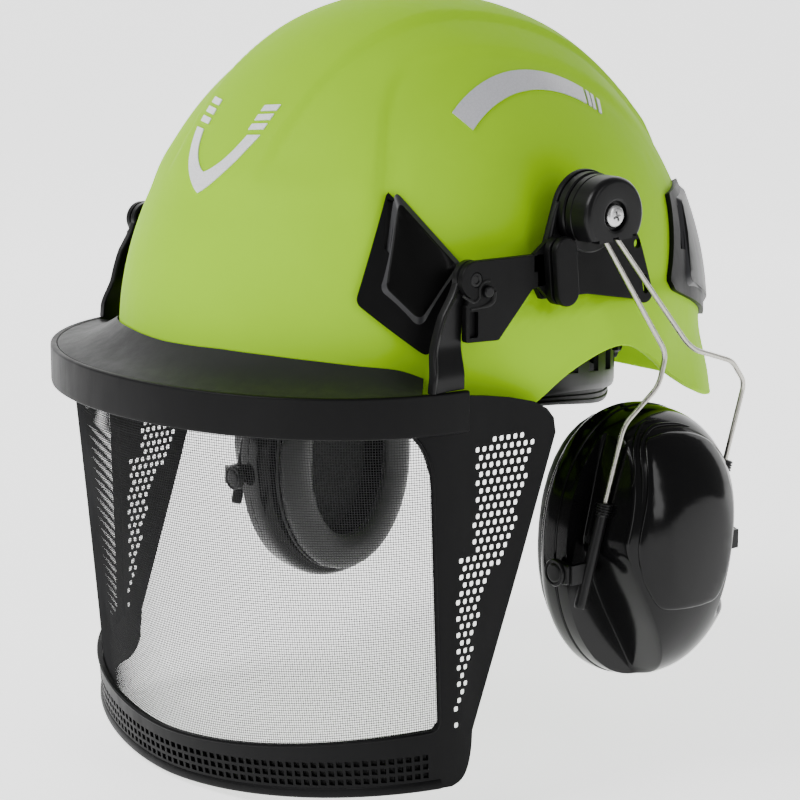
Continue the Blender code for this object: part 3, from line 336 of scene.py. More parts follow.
class Shape:
    """Points and faces gathered before they become an object."""

    def __init__(self):
        self.points, self.faces, self.picks = [], [], []

    def ring(self, points):
        start = len(self.points)
        self.points += [tuple(p) for p in points]
        return list(range(start, len(self.points)))

    def face(self, indices, pick=0):
        self.faces.append(tuple(indices))
        self.picks.append(pick)

    def skin(self, a, b, closed=True, pick=0):
        n = len(a)
        for j in range(n if closed else n - 1):
            k = (j + 1) % n
            self.face((a[j], a[k], b[k], b[j]), pick)

    def loft(self, rings, closed=False):
        """Closed rings of equal count skinned in order; closed joins the last to the first."""
        loops = [self.ring(r) for r in rings]
        for a, b in zip(loops, loops[1:]):
            self.skin(a, b)
        if closed:
            self.skin(loops[-1], loops[0])
        else:
            self.face(reversed(loops[0]))
            self.face(loops[-1])

    def sheet(self, outer, inner, wrap=False, hole=None, ends=True):
        """Two grids closed into a wall; hole(row, column) leaves cells out, ends closes the outer rows."""
        rows, cols = len(outer), len(outer[0])
        top = [self.ring(r) for r in outer]
        low = [self.ring(r) for r in inner]
        cells_across = cols if wrap else cols - 1

        def kept(i, j):
            j = j % cols if wrap else j
            if not 0 <= i < rows - 1:
                return not ends
            return 0 <= j < cells_across and not (hole and hole(i, j))

        for i in range(rows - 1):
            for j in range(cells_across):
                if not kept(i, j):
                    continue
                k = (j + 1) % cols
                self.face((top[i][j], top[i][k], top[i + 1][k], top[i + 1][j]))
                self.face((low[i][j], low[i + 1][j], low[i + 1][k], low[i][k]))
                if not kept(i - 1, j):
                    self.face((top[i][j], low[i][j], low[i][k], top[i][k]))
                if not kept(i + 1, j):
                    self.face((top[i + 1][j], top[i + 1][k], low[i + 1][k], low[i + 1][j]))
                if not kept(i, j - 1):
                    self.face((top[i][j], top[i + 1][j], low[i + 1][j], low[i][j]))
                if not kept(i, j + 1):
                    self.face((top[i][k], low[i][k], low[i + 1][k], top[i + 1][k]))
        return top, low

    def plate(self, outline, holes, spacing, lift):
        """A plate over an outline with holes; lift(u, w, level) places its two faces, level 1 outermost."""
        flat, triangles = fill(outline, holes, spacing)
        upper = self.ring([lift(u, w, 1.0) for u, w in flat])
        lower = self.ring([lift(u, w, 0.0) for u, w in flat])
        edges = set()
        for tri in triangles:
            self.face([upper[k] for k in tri])
            self.face([lower[k] for k in reversed(tri)])
            edges.update(zip(tri, tri[1:] + tri[:1]))
        for a, b in sorted(edges):
            if (b, a) not in edges:
                self.face((upper[a], lower[a], lower[b], upper[b]))

    def object(self, name, mat, body, sharp, replaces=(), mats=None, slot=None):
        """The gathered faces as a piece; without a slot its material's own is looked up, but build does not
        use it.
        """
        used = sorted({k for face in self.faces for k in face})
        renumber = {k: i for i, k in enumerate(used)}
        points = [self.points[k] for k in used]
        faces = [[renumber[k] for k in face] for face in self.faces]
        slot = slot or SLOTS.get(mat, "black_plastic")
        return build(name, points, faces, mat, body, slot, sharp, replaces, mats, self.picks)


def lofted(rings, *piece, closed=False, **settings):
    """One piece from closed rings."""
    shape = Shape()
    shape.loft(rings, closed=closed)
    return shape.object(*piece, **settings)


def walled(outer, inner, *piece, wrap=False, hole=None):
    """One piece from the two grids of a wall."""
    shape = Shape()
    shape.sheet(outer, inner, wrap, hole)
    return shape.object(*piece)


def fill(outline, holes, spacing):
    """Triangles over an outline with holes, with inner points on a grid of the given spacing."""
    points, edges, owner = [], [], []
    step = spacing if isinstance(spacing, tuple) else (spacing, spacing)
    loops = [list(outline)] + [list(hole) for hole in holes]
    for number, loop in enumerate(loops):
        start = len(points)
        points += [Vector(p) for p in loop]
        owner += [number] * len(loop)
        edges += [(start + i, start + (i + 1) % len(loop)) for i in range(len(loop))]
    fixed = np.array([tuple(p) for p in points])
    lo, hi = fixed.min(0), fixed.max(0)
    wide = [loop for loop in loops[1:] if max(p[0] for p in loop) - min(p[0] for p in loop) > step[0]]
    for u in np.arange(lo[0] + step[0] / 2, hi[0], step[0]):
        for w in np.arange(lo[1] + step[1] / 2, hi[1], step[1]):
            near = np.min(np.hypot((fixed[:, 0] - u) / step[0], (fixed[:, 1] - w) / step[1]))
            if near > 0.4 and not any(inside((u, w), loop) for loop in wide):
                points.append(Vector((u, w)))
                owner.append(-1)
    flat, _, faces, origins, _, _ = delaunay_2d_cdt(points, edges, [], 1, 1e-5)
    belongs = [owner[came[0]] if came else -1 for came in origins]
    keep = []
    for face in faces:
        a, b, c = (flat[k] for k in face)
        area = (b - a).cross(c - a)
        hole = belongs[face[0]]
        if hole > 0 and belongs[face[1]] == hole and belongs[face[2]] == hole:
            if inside(tuple((a + b + c) / 3), loops[hole]):
                continue
        if abs(area) > 1e-7:
            keep.append(list(face) if area > 0 else list(reversed(face)))
    return [tuple(p) for p in flat], keep


def rounded(corners, radius, steps=5):
    """A closed outline with each corner rounded; radius may be one number or one per corner."""
    out = []
    n = len(corners)
    radii = radius if isinstance(radius, (list, tuple)) else [radius] * n
    for i in range(n):
        at = Vector(corners[i])
        before, after = Vector(corners[i - 1]) - at, Vector(corners[(i + 1) % n]) - at
        if radii[i] <= 0:
            out.append(tuple(at))
            continue
        half = before.angle(after) / 2
        reach = min(radii[i] / max(math.tan(half), 1e-3), before.length * 0.48, after.length * 0.48)
        start, stop = at + before.normalized() * reach, at + after.normalized() * reach
        for k in range(steps + 1):
            t = k / steps
            out.append(tuple(start * (1 - t) ** 2 + at * 2 * t * (1 - t) + stop * t * t))
    return out


def spline(points, per_span=6, closed=False):
    """A smooth curve through points (Catmull-Rom)."""
    pts = [Vector(p) for p in points]
    n = len(pts)
    out = []
    for i in range(n if closed else n - 1):
        p1, p2 = pts[i], pts[(i + 1) % n]
        p0 = pts[i - 1] if closed or i > 0 else p1 * 2 - p2
        p3 = pts[(i + 2) % n] if closed or i + 2 < n else p2 * 2 - p1
        for k in range(per_span):
            t = k / per_span
            out.append(0.5 * ((2 * p1) + (p2 - p0) * t + (2 * p0 - 5 * p1 + 4 * p2 - p3) * t * t
                              + (3 * p1 - p0 - 3 * p2 + p3) * t ** 3))
    if not closed:
        out.append(pts[-1].copy())
    return [tuple(p) for p in out]


def offset_outline(corners, amount):
    """A closed outline moved outwards by a distance."""
    if not amount:
        return corners
    area = sum(p[0] * q[1] - q[0] * p[1] for p, q in zip(corners, corners[1:] + corners[:1]))
    turn = 1 if area > 0 else -1
    out = []
    for i, corner in enumerate(corners):
        q = Vector(corner)
        before, after = q - Vector(corners[i - 1]), Vector(corners[(i + 1) % len(corners)]) - q
        before.normalize()
        after.normalize()
        first = Vector((before.y, -before.x)) * turn
        bisector = (first + Vector((after.y, -after.x)) * turn).normalized()
        out.append(tuple(q + bisector * (amount / max(0.4, bisector.dot(first)))))
    return out


def inset(outline, amount):
    return offset_outline(outline, -amount)


def dense(loop, step):
    """A closed outline with long edges divided."""
    out = []
    for i, p in enumerate(loop):
        a, b = Vector(p), Vector(loop[(i + 1) % len(loop)])
        parts = max(1, int((b - a).length / step))
        out += [tuple(a.lerp(b, k / parts)) for k in range(parts)]
    return out


def circle(cy, cz, radius, steps=24, start=0.0, stop=360.0):
    closed = abs(stop - start) >= 360
    count = steps if closed else steps + 1
    out = []
    for i in range(count):
        a = math.radians(start + (stop - start) * i / steps)
        out.append((cy + radius * math.cos(a), cz + radius * math.sin(a)))
    return out


def frame_of(axis):
    axis = axis.normalized()
    side = Vector((1, 0, 0)) if abs(axis.x) < 0.7 else Vector((0, 1, 0))
    u = axis.cross(side).normalized()
    return u, axis.cross(u).normalized()


def turned(base, axis, profile, sides=64, flute=None):
    """Rings of a turned part; flute(angle) is added to a radius by the share in its third value."""
    base, axis = Vector(base), Vector(axis).normalized()
    u, w = frame_of(axis)
    rings = []
    for along, radius, *share in profile:
        ring = []
        for j in range(sides):
            a = 2 * math.pi * j / sides
            reach = radius + (flute(a) * share[0] if share else 0.0)
            ring.append(base + axis * along + (u * math.cos(a) + w * math.sin(a)) * reach)
        rings.append(ring)
    return rings


def tube(points, radius, sides=12):
    """Rings of a round bar swept along points; radius may be a number or one per point."""
    points = [Vector(p) for p in points]
    rings, u = [], None
    for i, p in enumerate(points):
        ahead = (points[min(i + 1, len(points) - 1)] - points[max(i - 1, 0)]).normalized()
        if u is None:
            u = frame_of(ahead)[0]
        u = (u - ahead * u.dot(ahead)).normalized()
        w = ahead.cross(u)
        r = radius[i] if isinstance(radius, (list, tuple)) else radius
        rings.append([p + (u * math.cos(2 * math.pi * j / sides) + w * math.sin(2 * math.pi * j / sides)) * r
                      for j in range(sides)])
    return rings


def soften(obj, width, segments=3, angle=32.0):
    """Rounded edges."""
    mod = obj.modifiers.new("rounded_edges", "BEVEL")
    mod.width = width * MM
    mod.segments = segments
    mod.limit_method = "ANGLE"
    mod.angle_limit = math.radians(angle)


def settle(obj):
    """Keep what the object's modifiers make as its own mesh."""
    bpy.context.view_layer.update()
    made = bpy.data.meshes.new_from_object(obj.evaluated_get(bpy.context.evaluated_depsgraph_get()))
    obj.modifiers.clear()
    old = obj.data
    obj.data = made
    bpy.data.meshes.remove(old)


def cut(obj, shape, name, sharp=30.0):
    """Cut a closed shape out of an object, for good."""
    tool = build(name, shape.points, shape.faces, SHADE_BLACK, obj["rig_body"], "black_plastic")
    mod = obj.modifiers.new("cut", "BOOLEAN")
    mod.object = tool
    mod.operation = "DIFFERENCE"
    mod.solver = "EXACT"
    settle(obj)
    bpy.data.objects.remove(tool)
    obj.data.set_sharp_from_angle(angle=math.radians(sharp))


def even_shading(skip):
    """Shade every hard piece by the size of its faces, so that flat faces stay flat beside rounded edges."""
    for obj in bpy.context.scene.objects:
        if obj.type != "MESH" or "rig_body" not in obj or obj.name.startswith(skip):
            continue
        mod = obj.modifiers.new("even_shading", "WEIGHTED_NORMAL")
        mod.keep_sharp = True


# ---------------------------------------------------------------- the shell's surface
HALF_WIDTH, FRONT, BACK, TOP, EQUATOR, WALL = 107.3, 122.0, 140.7, 170.3, 37.2, 2.6
SHELL_POWER = 2.1                # of the plan's oval; 2 would be an ellipse
FRONT_FULLNESS, SIDE_FULLNESS, BACK_FULLNESS = 1.1, 0.98, 0.91       # how soon the dome closes in
CREST_RISE, SHOULDER_RISE, LEDGE_RISE, HOLLOW_DEPTH, TAIL_FLARE = 2.0, 1.5, 2.3, 1.1, 5.5
# lower edge: (plan angle from the front, height)
SHELL_EDGE = ((0, 11), (45, 11), (64, 12), (74, 14), (81, 19), (86.5, 27.4), (93, 34.5), (98, 37.2),
              (102, 36.4), (106, 32), (114, 19.8), (124, 9.5), (131, 4), (139, 0.5), (155, -2), (180, -3))
# half widths of the raised crest and of the shoulder below it: (y, half width)
CREST = ((-120, 25.5), (-88, 28), (-40, 30), (0, 32), (40, 36), (65, 39.5), (110, 44))
SHOULDER = ((-75, 73), (-67, 68.8), (-55, 57), (-42, 49), (-11, 53.5), (25, 57), (43, 58.5), (64, 62),
            (100, 66))


def fold(angle):
    return abs((angle + 180) % 360 - 180)


def smooth_table(table, x, reach):
    """The table's reading, averaged over a short stretch so that its corners are rounded."""
    return sum(along_table(table, x + reach * k / 3) for k in (-3, -2, -1, 0, 1, 2, 3)) / 7


def shell_edge(angle):
    return smooth_table(SHELL_EDGE, fold(angle), 2.0)


def bare_shell(angle, z):
    a = math.radians(angle)
    s, c = math.sin(a), math.cos(a)
    full = SIDE_FULLNESS + ((FRONT_FULLNESS if c > 0 else BACK_FULLNESS) - SIDE_FULLNESS) * c * c
    reach = FRONT if c > 0 else BACK
    scale = 1.0
    if z > EQUATOR:
        rise = min(1.0, (z - EQUATOR) / (TOP - EQUATOR)) ** (1 / 1.1)
        scale = max(0.0, 1 - rise * rise) ** (full / 2)
    m = 2 / SHELL_POWER
    return Vector((HALF_WIDTH * signed_power(s, m) * scale, -reach * signed_power(c, m) * scale, z))


def shell_normal(angle, z):
    up = bare_shell(angle, min(z + 0.5, TOP - 0.05)) - bare_shell(angle, z - 0.5)
    along = bare_shell(angle + 0.5, z) - bare_shell(angle - 0.5, z)
    if along.length < 1e-6:
        return Vector((0, 0, 1))
    return along.cross(up).normalized()


def relief(angle, p):
    """Crest, shoulder, side ledge, hollow over the front vent and flared nape, above the plain shell."""
    folded = fold(angle)
    high = smooth_step(98, 116, p.z)
    half = along_table(CREST, p.y)
    rise = CREST_RISE * high * (1 - smooth_step(half - 1.0, half + 2.2, abs(p.x)))
    half = smooth_table(SHOULDER, p.y, 6.0)
    shoulder = (1 - smooth_step(half - 3.6, half + 1.2, abs(p.x))) * smooth_step(92, 108, p.z)
    shoulder *= (1 - smooth_step(58, 92, p.y)) * (1 - high * smooth_step(-62, -100, p.y))
    ledge = smooth_step(70, 80, folded) * (1 - smooth_step(110, 124, folded))
    ledge *= 1 - smooth_step(54.6, 57.8, p.z)
    hollow = math.exp(-((folded - 52.0 - 0.1 * (p.z - 103)) / 3.2) ** 2)
    hollow *= smooth_step(84, 102, p.z) * (1 - smooth_step(104, 126, p.z))
    tail = smooth_step(106, 132, folded) * (1 - smooth_step(0, 34, p.z))
    return rise + SHOULDER_RISE * shoulder + LEDGE_RISE * ledge - HOLLOW_DEPTH * hollow + TAIL_FLARE * tail


def shell(angle, z, offset=0.0):
    p = bare_shell(angle, z)
    return p + shell_normal(angle, z) * (relief(angle, p) + offset)


# corners of the vents' frames and raised panels: (plan angle, height)
FRONT_VENT = ((51.0, 103.0), (65.4, 73.5), (59.4, 40.0), (45.0, 61.5))
FRONT_PANEL = ((53.6, 98.0), (65.0, 74.4), (57.6, 55.0), (51.2, 67.0))
REAR_VENT = ((127.5, 90.0), (146.0, 92.0), (148.0, 31.0), (115.2, 54.0))
REAR_PANEL = ((132.0, 85.0), (143.5, 87.0), (144.5, 40.0), (124.5, 54.5))
OPENING_SHARE = 0.62             # size of the shell's opening as a share of its vent frame
MM_PER_DEGREE = 1.95             # along the shell, for a degree of plan angle near the vents
FRAME_RADII = {"front": (1.6, 2.2, 3.0, 4.0), "rear": (2.0, 2.5, 4.0, 4.0)}
PANEL_RADII = (2.0, 2.0, 3.2, 4.0)
SLOT_SHARES = ((-0.21, 0.02), (-0.055, 0.02), (-0.055, 0.62), (-0.21, 0.62))


def scale_about(corners, factor):
    ca = sum(c[0] for c in corners) / len(corners)
    cz = sum(c[1] for c in corners) / len(corners)
    return [(ca + (a - ca) * factor, cz + (z - cz) * factor) for a, z in corners]


def inside(point, corners):
    """True where a point lies within a polygon."""
    x, y = point
    found = False
    for (x0, y0), (x1, y1) in zip(corners, corners[1:] + corners[:1]):
        if (y0 > y) != (y1 > y) and x < (x1 - x0) * (y - y0) / (y1 - y0) + x0:
            found = not found
    return found


def shell_moulding():
    """The shell: one wall with a rounded rim and real openings under the vents."""
    columns, rows = 216, 84
    openings = [scale_about(corners, OPENING_SHARE) for corners in (FRONT_VENT, REAR_VENT)]
    outer, inner, places = [], [], []
    for i in range(rows):
        ring_out, ring_in, row = [], [], []
        t = math.sin(math.pi / 2 * i / (rows - 1)) ** 0.96
        for j in range(columns):
            angle = 360 * j / columns
            low = shell_edge(angle)
            z = low + (TOP - low) * 0.9994 * t
            lip = 0.45 * (1 - smooth_step(0.0, 3.0, z - low))
            ring_out.append(shell(angle, z, lip))
            ring_in.append(shell(angle, z, -WALL))
            row.append((fold(angle), z))
        outer.append(ring_out)
        inner.append(ring_in)
        places.append(row)

    def opened(i, j):
        return any(inside(places[i][j], corners) for corners in openings)

    shape = Shape()
    top, low = shape.sheet(outer, inner, wrap=True, hole=opened, ends=False)
    for loops, grid in ((top, outer), (low, inner)):
        centre = shape.ring([sum(grid[-1], Vector()) / columns])[0]
        for j in range(columns):
            shape.face((loops[-1][j], loops[-1][(j + 1) % columns], centre))
    rim = []
    for share, drop in ((0.36, 0.55), (0.0, 0.8), (-0.36, 0.55)):
        down = Vector((0, 0, drop))
        rim.append(shape.ring([(a + b) / 2 + (a - b) * share - down for a, b in zip(outer[0], inner[0])]))
    chain = [top[0]] + rim + [low[0]]
    for a, b in zip(chain, chain[1:]):
        shape.skin(a, b)
    return shape.object("shell_moulding", GREEN, "helmet", 50, ["helmet_shell"])


def to_mm(outline):
    """(plan angle, height) points with the angle as a length along the shell."""
    return [(a * MM_PER_DEGREE, z) for a, z in outline]


def to_angles(outline):
    return [(u / MM_PER_DEGREE, z) for u, z in outline]


def patch(side, outline, holes, low, high):
    """A plate laid over the shell between two heights above it; its outlines are in millimetres."""
    shape = Shape()

    def lift(u, w, level):
        return shell(side * u / MM_PER_DEGREE, w, low + (high - low) * level)

    shape.plate(dense(outline, 3.0), [dense(hole, 2.5) for hole in holes], 3.0, lift)
    return shape


def in_patch(corners, s, t):
    """(plan angle, height) at shares s, t across a four-cornered patch: t runs down from its first edge."""
    (a0, z0), (a1, z1), (a2, z2), (a3, z3) = corners
    angle = (a0 * (1 - s) + a1 * s) * (1 - t) + (a3 * (1 - s) + a2 * s) * t
    z = (z0 * (1 - s) + z1 * s) * (1 - t) + (z3 * (1 - s) + z2 * s) * t
    return angle, z


def vents():
    """Slotted frames over deep-black sheets, painted shade seen through the slots, each with a raised panel,
    at the four openings.
    """
    for side, label in SIDES:
        for place, corners, panel in (("front", FRONT_VENT, FRONT_PANEL), ("rear", REAR_VENT, REAR_PANEL)):
            outline = rounded(to_mm(corners), FRAME_RADII[place], 6)
            slot = to_mm([in_patch(panel, s, t) for s, t in SLOT_SHARES])
            rim = patch(side, outline, [slot], 0.2, 2.2)
            soften(rim.object(f"vent_frame_{place}_{label}", BLACK, "helmet", 30,
                              [f"{place}_vent_frame_{label}"]), 0.9)
            # deep-black sheet under the whole frame: painted shade in place of the dark inside seen through
            # the slot
            shade_sheet = patch(side, outline, [], 0.03, 0.17)
            shade_sheet.object(f"vent_backing_{place}_{label}", SHADE_BLACK, "helmet", 30)
            vent_panel(side, place, label, to_mm(panel))


def vent_panel(side, place, label, panel):
    """A raised panel with grey slopes."""
    shape = Shape()
    loops = []
    for grow, height in ((2.4, 1.2), (2.4, 2.05), (1.9, 2.35), (0.35, 3.45), (0.0, 3.6)):
        rim = rounded(offset_outline(panel, grow), PANEL_RADII, 6)
        loops.append(shape.ring([shell(side * a, z, height) for a, z in to_angles(rim)]))
    for n, (a, b) in enumerate(zip(loops, loops[1:])):
        shape.skin(a, b, pick=1 if n in (1, 2) else 0)
    shape.face(reversed(loops[0]))
    cap_over(shape, loops[-1], rim, lambda u, w: shell(side * u / MM_PER_DEGREE, w, height), 3.0)
    shape.object(f"vent_panel_{place}_{label}", PANEL_BLACK, "helmet", 28, [f"{place}_vent_panel_{label}"],
                 [PANEL_BLACK, LIP_GREY])


def cap_over(shape, loop, flat, lift, spacing):
    """Close a rim with faces over a curved surface; flat is the rim in the surface's own coordinates."""
    points, triangles = fill(flat, [], spacing)
    rim = {(round(u, 3), round(w, 3)): loop[i] for i, (u, w) in enumerate(flat)}
    index = []
    for u, w in points:
        key = (round(u, 3), round(w, 3))
        index.append(rim[key] if key in rim else shape.ring([lift(u, w)])[0])
    for tri in triangles:
        shape.face([index[n] for n in tri])


def angle_at(value, z, component):
    """Plan angle where the shell's x (component 0) or y (component 1) takes a value at a height."""
    low, high = (0.0, 90.0) if component == 0 else (0.0, 180.0)
    for _ in range(26):
        mid = (low + high) / 2
        if shell(mid, z)[component] < value:
            low = mid
        else:
            high = mid
    return (low + high) / 2


def sticker(shape, edges_of, steps, component, side=1):
    """A thin strip over the shell; edges_of(t) gives the two ends of its width as (x or y, z)."""
    def lay(place, offset):
        value, z = place
        if component == 0:
            return shell(math.copysign(angle_at(abs(value), z, 0), value), z, offset)
        return shell(side * angle_at(value, z, 1), z, offset)

    across = []
    for t in steps:
        first, last = edges_of(t)
        across.append((first, ((first[0] + last[0]) / 2, (first[1] + last[1]) / 2), last))
    grids = [[[lay(places[k], offset) for places in across] for k in range(3)] for offset in (0.55, 0.05)]
    shape.sheet(*grids)


ARC_Y, ARC_Z, ARC_RADIUS = 11, 74.5, 66.3        # the side reflector's centre and middle line
DASH_LOW = 121.9                                 # height of the lowest dash beside the V


def v_edges(t):
    """The V's lower and upper edge, from its right tip at -1 to its left tip at 1."""
    n = abs(t)
    if not n:
        return (0.0, 98.0), (0.0, 105.4)
    bulge = math.sin(math.pi * n)
    return ((math.copysign(n * 20.8 + 2.4 * bulge, t), 98.0 + 22.4 * n ** 1.22),
            (math.copysign(n * 14.6 + 1.9 * bulge, t), 105.4 + 14.6 * n ** 1.3))


def arc_edges(degrees):
    a = math.radians(degrees)
    half = 3.1 + 1.1 * (degrees - 50) / 77
    return [(ARC_Y + radius * math.cos(a), ARC_Z + radius * math.sin(a))
            for radius in (ARC_RADIUS - half, ARC_RADIUS + half)]


def reflectors():
    """The brow V with its trailing dashes, and the arc with dashes on each side."""
    shape = Shape()
    sticker(shape, v_edges, [k / 12 for k in range(-12, 13)], 0)
    for sign in (-1, 1):
        for z in (DASH_LOW, 125.3, 128.6):
            def dash(t, z=z, sign=sign):
                x = 13.4 + (z - DASH_LOW) * 0.09 + 7.4 * t
                return (sign * x, z + 0.6 * t), (sign * (x + 0.3), z + 2.1 + 0.6 * t)
            sticker(shape, dash, [0.0, 0.5, 1.0], 0)
    shape.object("brow_reflector", FILM_WHITE, "helmet", 40, ["reflector_front"])
    for side, label in SIDES:
        shape = Shape()
        sticker(shape, arc_edges, [127 - 66 * k / 18 for k in range(19)], 1, side)
        for start in (59.8, 57.6, 54.6):
            sticker(shape, arc_edges, [start, start - 0.7, start - 1.5], 1, side)
        shape.object(f"side_reflector_{label}", FILM_GREY, "helmet", 40, [f"reflector_side_{label}"])


# ---------------------------------------------------------------- brackets, drum and hinge
DRUM_Y, DRUM_Z, DRUM_RADIUS, DRUM_FACE = 4.2, 92.7, 15.4, 126.5
SWING_X, SWING_Z = 119.5, 84.8
HINGE_Y, HINGE_Z, HINGE_HEAD = -56.0, 72.0, 7.3
PLATE_X, VISOR_PLATE_X, ARM_X = (106.5, 109.0), (109.4, 112.2), (105.7, 108.8)     # distances from the middle
BRACKET_RIM = 1.4                # of the ear bracket's plate round the drum
LUG_Y, LUG_TOP_Z, LUG_LOW_Z, LUG_RADIUS = -13.8, 79.4, 63.4, 6.0


def across(side, x, outline):
    """A (y, z) outline placed at a distance from the middle plane."""
    return [(side * x, y, z) for y, z in outline]


def bar(side, outline, low, high):
    return [across(side, x, outline) for x in (low, high)]


def slab(side, outline, low, high, edge=0.5, low_edge=0.15):
    """Rings of a flat moulding across X with rounded rims."""
    steps = ((low_edge, low), (0.0, low + low_edge), (0.0, high - edge), (edge * 0.3, high - edge * 0.3),
             (edge, high))
    return [across(side, x, inset(outline, depth)) for depth, x in steps]


def turned_x(side, y, z, profile, sides):
    return turned((0, y, z), (side, 0, 0), profile, sides)


def slot_adapter(side, label):
    """Block between the shell and the bracket plate."""
    heights = [62 + 16 * i / 12 for i in range(13)]
    stations = [-10 + 34 * j / 20 for j in range(21)]
    outer = [[(side * (PLATE_X[0] - 0.4), y, z) for y in stations] for z in heights]
    inner = [[shell(side * angle_at(y, z, 1), z, 0.9) for y in stations] for z in heights]
    block = walled(outer, inner, f"slot_block_{label}", BLACK, "helmet", 30, [f"slot_adapter_{label}"])
    soften(block, 0.6, 2)


def ear_bracket(side, label):
    """Plate behind the drum with a holed tab at its rear, and a slanted rib along its front edge."""
    outline = circle(DRUM_Y, DRUM_Z, DRUM_RADIUS + BRACKET_RIM, 22, 20, 165)
    outline += rounded([(-19.5, 78.0), (-22.5, 66.0), (-19.0, 60.0), (6.0, 59.5), (29.0, 60.5)], 1.2, 3)[4:-4]
    outline += circle(38.5, 56.5, 4.2, 10, 215, 385)
    outline += [(36.8, 74.0), (34.8, 79.0), (33.0, 82.0), (22.5, 88.0)]
    plate = lofted(slab(side, outline, *PLATE_X, 0.7), f"ear_bracket_plate_{label}", BLACK, "helmet", 30,
                   [f"ear_bracket_{label}"])
    holes = Shape()
    for hole in (circle(33.2, 77.2, 2.0, 24), circle(DRUM_Y, DRUM_Z, 3.8, 24),
                 circle(37.4, 63.0, 1.4, 10, 0, 180) + circle(38.4, 57.6, 1.4, 10, 180, 360)):
        holes.loft(bar(side, hole, PLATE_X[0] - 2, PLATE_X[1] + 2))
    cut(plate, holes, f"bracket_holes_{label}")
    path = spline([(-11.6, 98.0), (-14.6, 91.0), (-17.4, 83.0), (-19.8, 75.0), (-22.0, 67.0)], 5)
    face = PLATE_X[1]
    rings = []
    for i, (y, z) in enumerate(path):
        reach = 1.0 + 1.5 * smooth_step(0, len(path) - 1, i)
        section = ((face - 0.6, -0.2), (face - 0.6, 2.4), (face + reach * 0.7, 2.4), (face + reach, 1.7),
                   (face + reach, 0.7), (face + reach * 0.6, -0.1))
        rings.append([(side * x, y + dy, z) for x, dy in section])
    lofted(rings, f"bracket_rib_{label}", BLACK_SATIN, "helmet", 40)


def visor_bracket(side, label):
    """Plate from the visor's hinge back to the thumb lug, with a window below the hinge."""
    outline = circle(HINGE_Y, HINGE_Z, HINGE_HEAD, 20, 95, 245)
    outline += rounded([(-61.0, 62.5), (-61.2, 48.0), (-44.2, 47.2), (-26.3, 65.6), (-13.0, 66.0),
                        (-13.0, 77.8), (-24.0, 79.2)], [1.5, 1.6, 1.6, 2.5, 1.0, 1.0, 4.0], 4)
    low, high = VISOR_PLATE_X
    plate = lofted(slab(side, outline, low, high, 0.45), f"visor_bracket_plate_{label}", BLACK, "helmet", 30,
                   [f"visor_bracket_{label}"])
    window = rounded([(-59.4, 49.6), (-55.0, 49.6), (-55.0, 59.8), (-59.4, 59.8)], 0.8, 3)
    holes = Shape()
    holes.loft(bar(side, circle(HINGE_Y, HINGE_Z, 3.05, 24), low - 2, high + 2))
    holes.loft(bar(side, window, low + 1.0, high + 2))
    cut(plate, holes, f"visor_bracket_holes_{label}")
    snap_details(side, label, high)
    thumb_lug(side, label)


def snap_details(side, label, face):
    """Deep-black tubes laid on the face for the groove and hook round the hinge, painted shade in place of
    their recesses, and the peg that the visor snaps over.
    """
    # groove and hook: deep-black tubes on the face, painted shade, not cut into the plate
    shade_lines = Shape()
    path = spline([(-62.6, 66.4), (-59.0, 64.2), (-56.6, 63.6), (-54.6, 65.2), (-54.4, 68.6), (-52.2, 70.9),
                   (-49.0, 71.0)], 6)
    shade_lines.loft(tube(across(side, face, path), 0.55, 8))
    hook = spline([(-58.8, 61.0), (-53.6, 61.2), (-49.8, 61.8), (-47.4, 63.4), (-47.0, 66.6)], 6)
    thickening = [0.5 + 0.65 * smooth_step(4, 15, i) for i in range(len(hook))]
    shade_lines.loft(tube(across(side, face - 0.1, hook), thickening, 8))
    shade_lines.object(f"snap_groove_{label}", SHADE_BLACK, "helmet", 60)
    base = face - 0.8
    profile = [(base, 2.4), (base + 2.0, 2.4), (base + 2.5, 2.1), (base + 2.7, 1.6)]
    lofted(turned_x(side, -50.6, 67.0, profile, 24), f"snap_peg_{label}", BLACK_SATIN, "helmet", 40)


def thumb_lug(side, label):
    """Two stacked pills on wedges that run out into the bracket."""
    pill = circle(LUG_Y - 0.6, LUG_TOP_Z, LUG_RADIUS, 18, -20, 190)
    pill += circle(LUG_Y + 0.7, LUG_LOW_Z, LUG_RADIUS - 0.3, 16, 190, 365)
    under = [(y - 1.3, z) for y, z in pill]
    lug = Shape()
    lug.loft(slab(side, inset(under, 0.4), 111.6, 115.2, 0.5, 0.3))
    lug.loft(slab(side, pill, 115.5, 118.6, 0.9, 0.3))
    lug.loft(bar(side, inset(pill, 1.2), 114.9, 115.8))
    for edge, tip, middle in ((79.0, -26.0, 84.0), (66.2, -24.0, 61.2)):
        wedge = [(tip, edge), (LUG_Y - 5.0, middle), (LUG_Y, edge), (LUG_Y, HINGE_Z), (tip, HINGE_Z)]
        lug.loft(bar(side, wedge, 110.2, VISOR_PLATE_X[1]))
    lug.object(f"thumb_lug_{label}", BLACK, "helmet", 40)


def hinge_pin(side, label):
    """Rivet with a wide inner head, flush with the bracket's outer face."""
    low, face = ARM_X[0], VISOR_PLATE_X[1]
    profile = [(low - 1.4, 4.2), (low - 1.0, 4.6), (low - 0.35, 4.6), (low - 0.35, 2.9), (face - 0.3, 2.9),
               (face, 2.6), (face + 0.05, 1.7), (face - 0.4, 1.4)]
    lofted(turned_x(side, HINGE_Y, HINGE_Z, profile, 40), f"hinge_rivet_{label}", BLACK_SATIN, "helmet", 40,
           [f"hinge_pin_{label}"])


# the visor arm's blade from the top down: (height, front edge, rear edge)
ARM_LINE = ((71.0, -63.1, -54.0), (66.5, -65.2, -55.0), (62.0, -68.2, -58.0), (58.5, -70.4, -59.4),
            (52.0, -72.9, -60.2), (46.0, -74.7, -60.5), (37.0, -77.3, -61.4), (30.3, -78.2, -61.6))
ARM_LEAN = 3.4                   # how far the blade's lower end stands out beyond its head


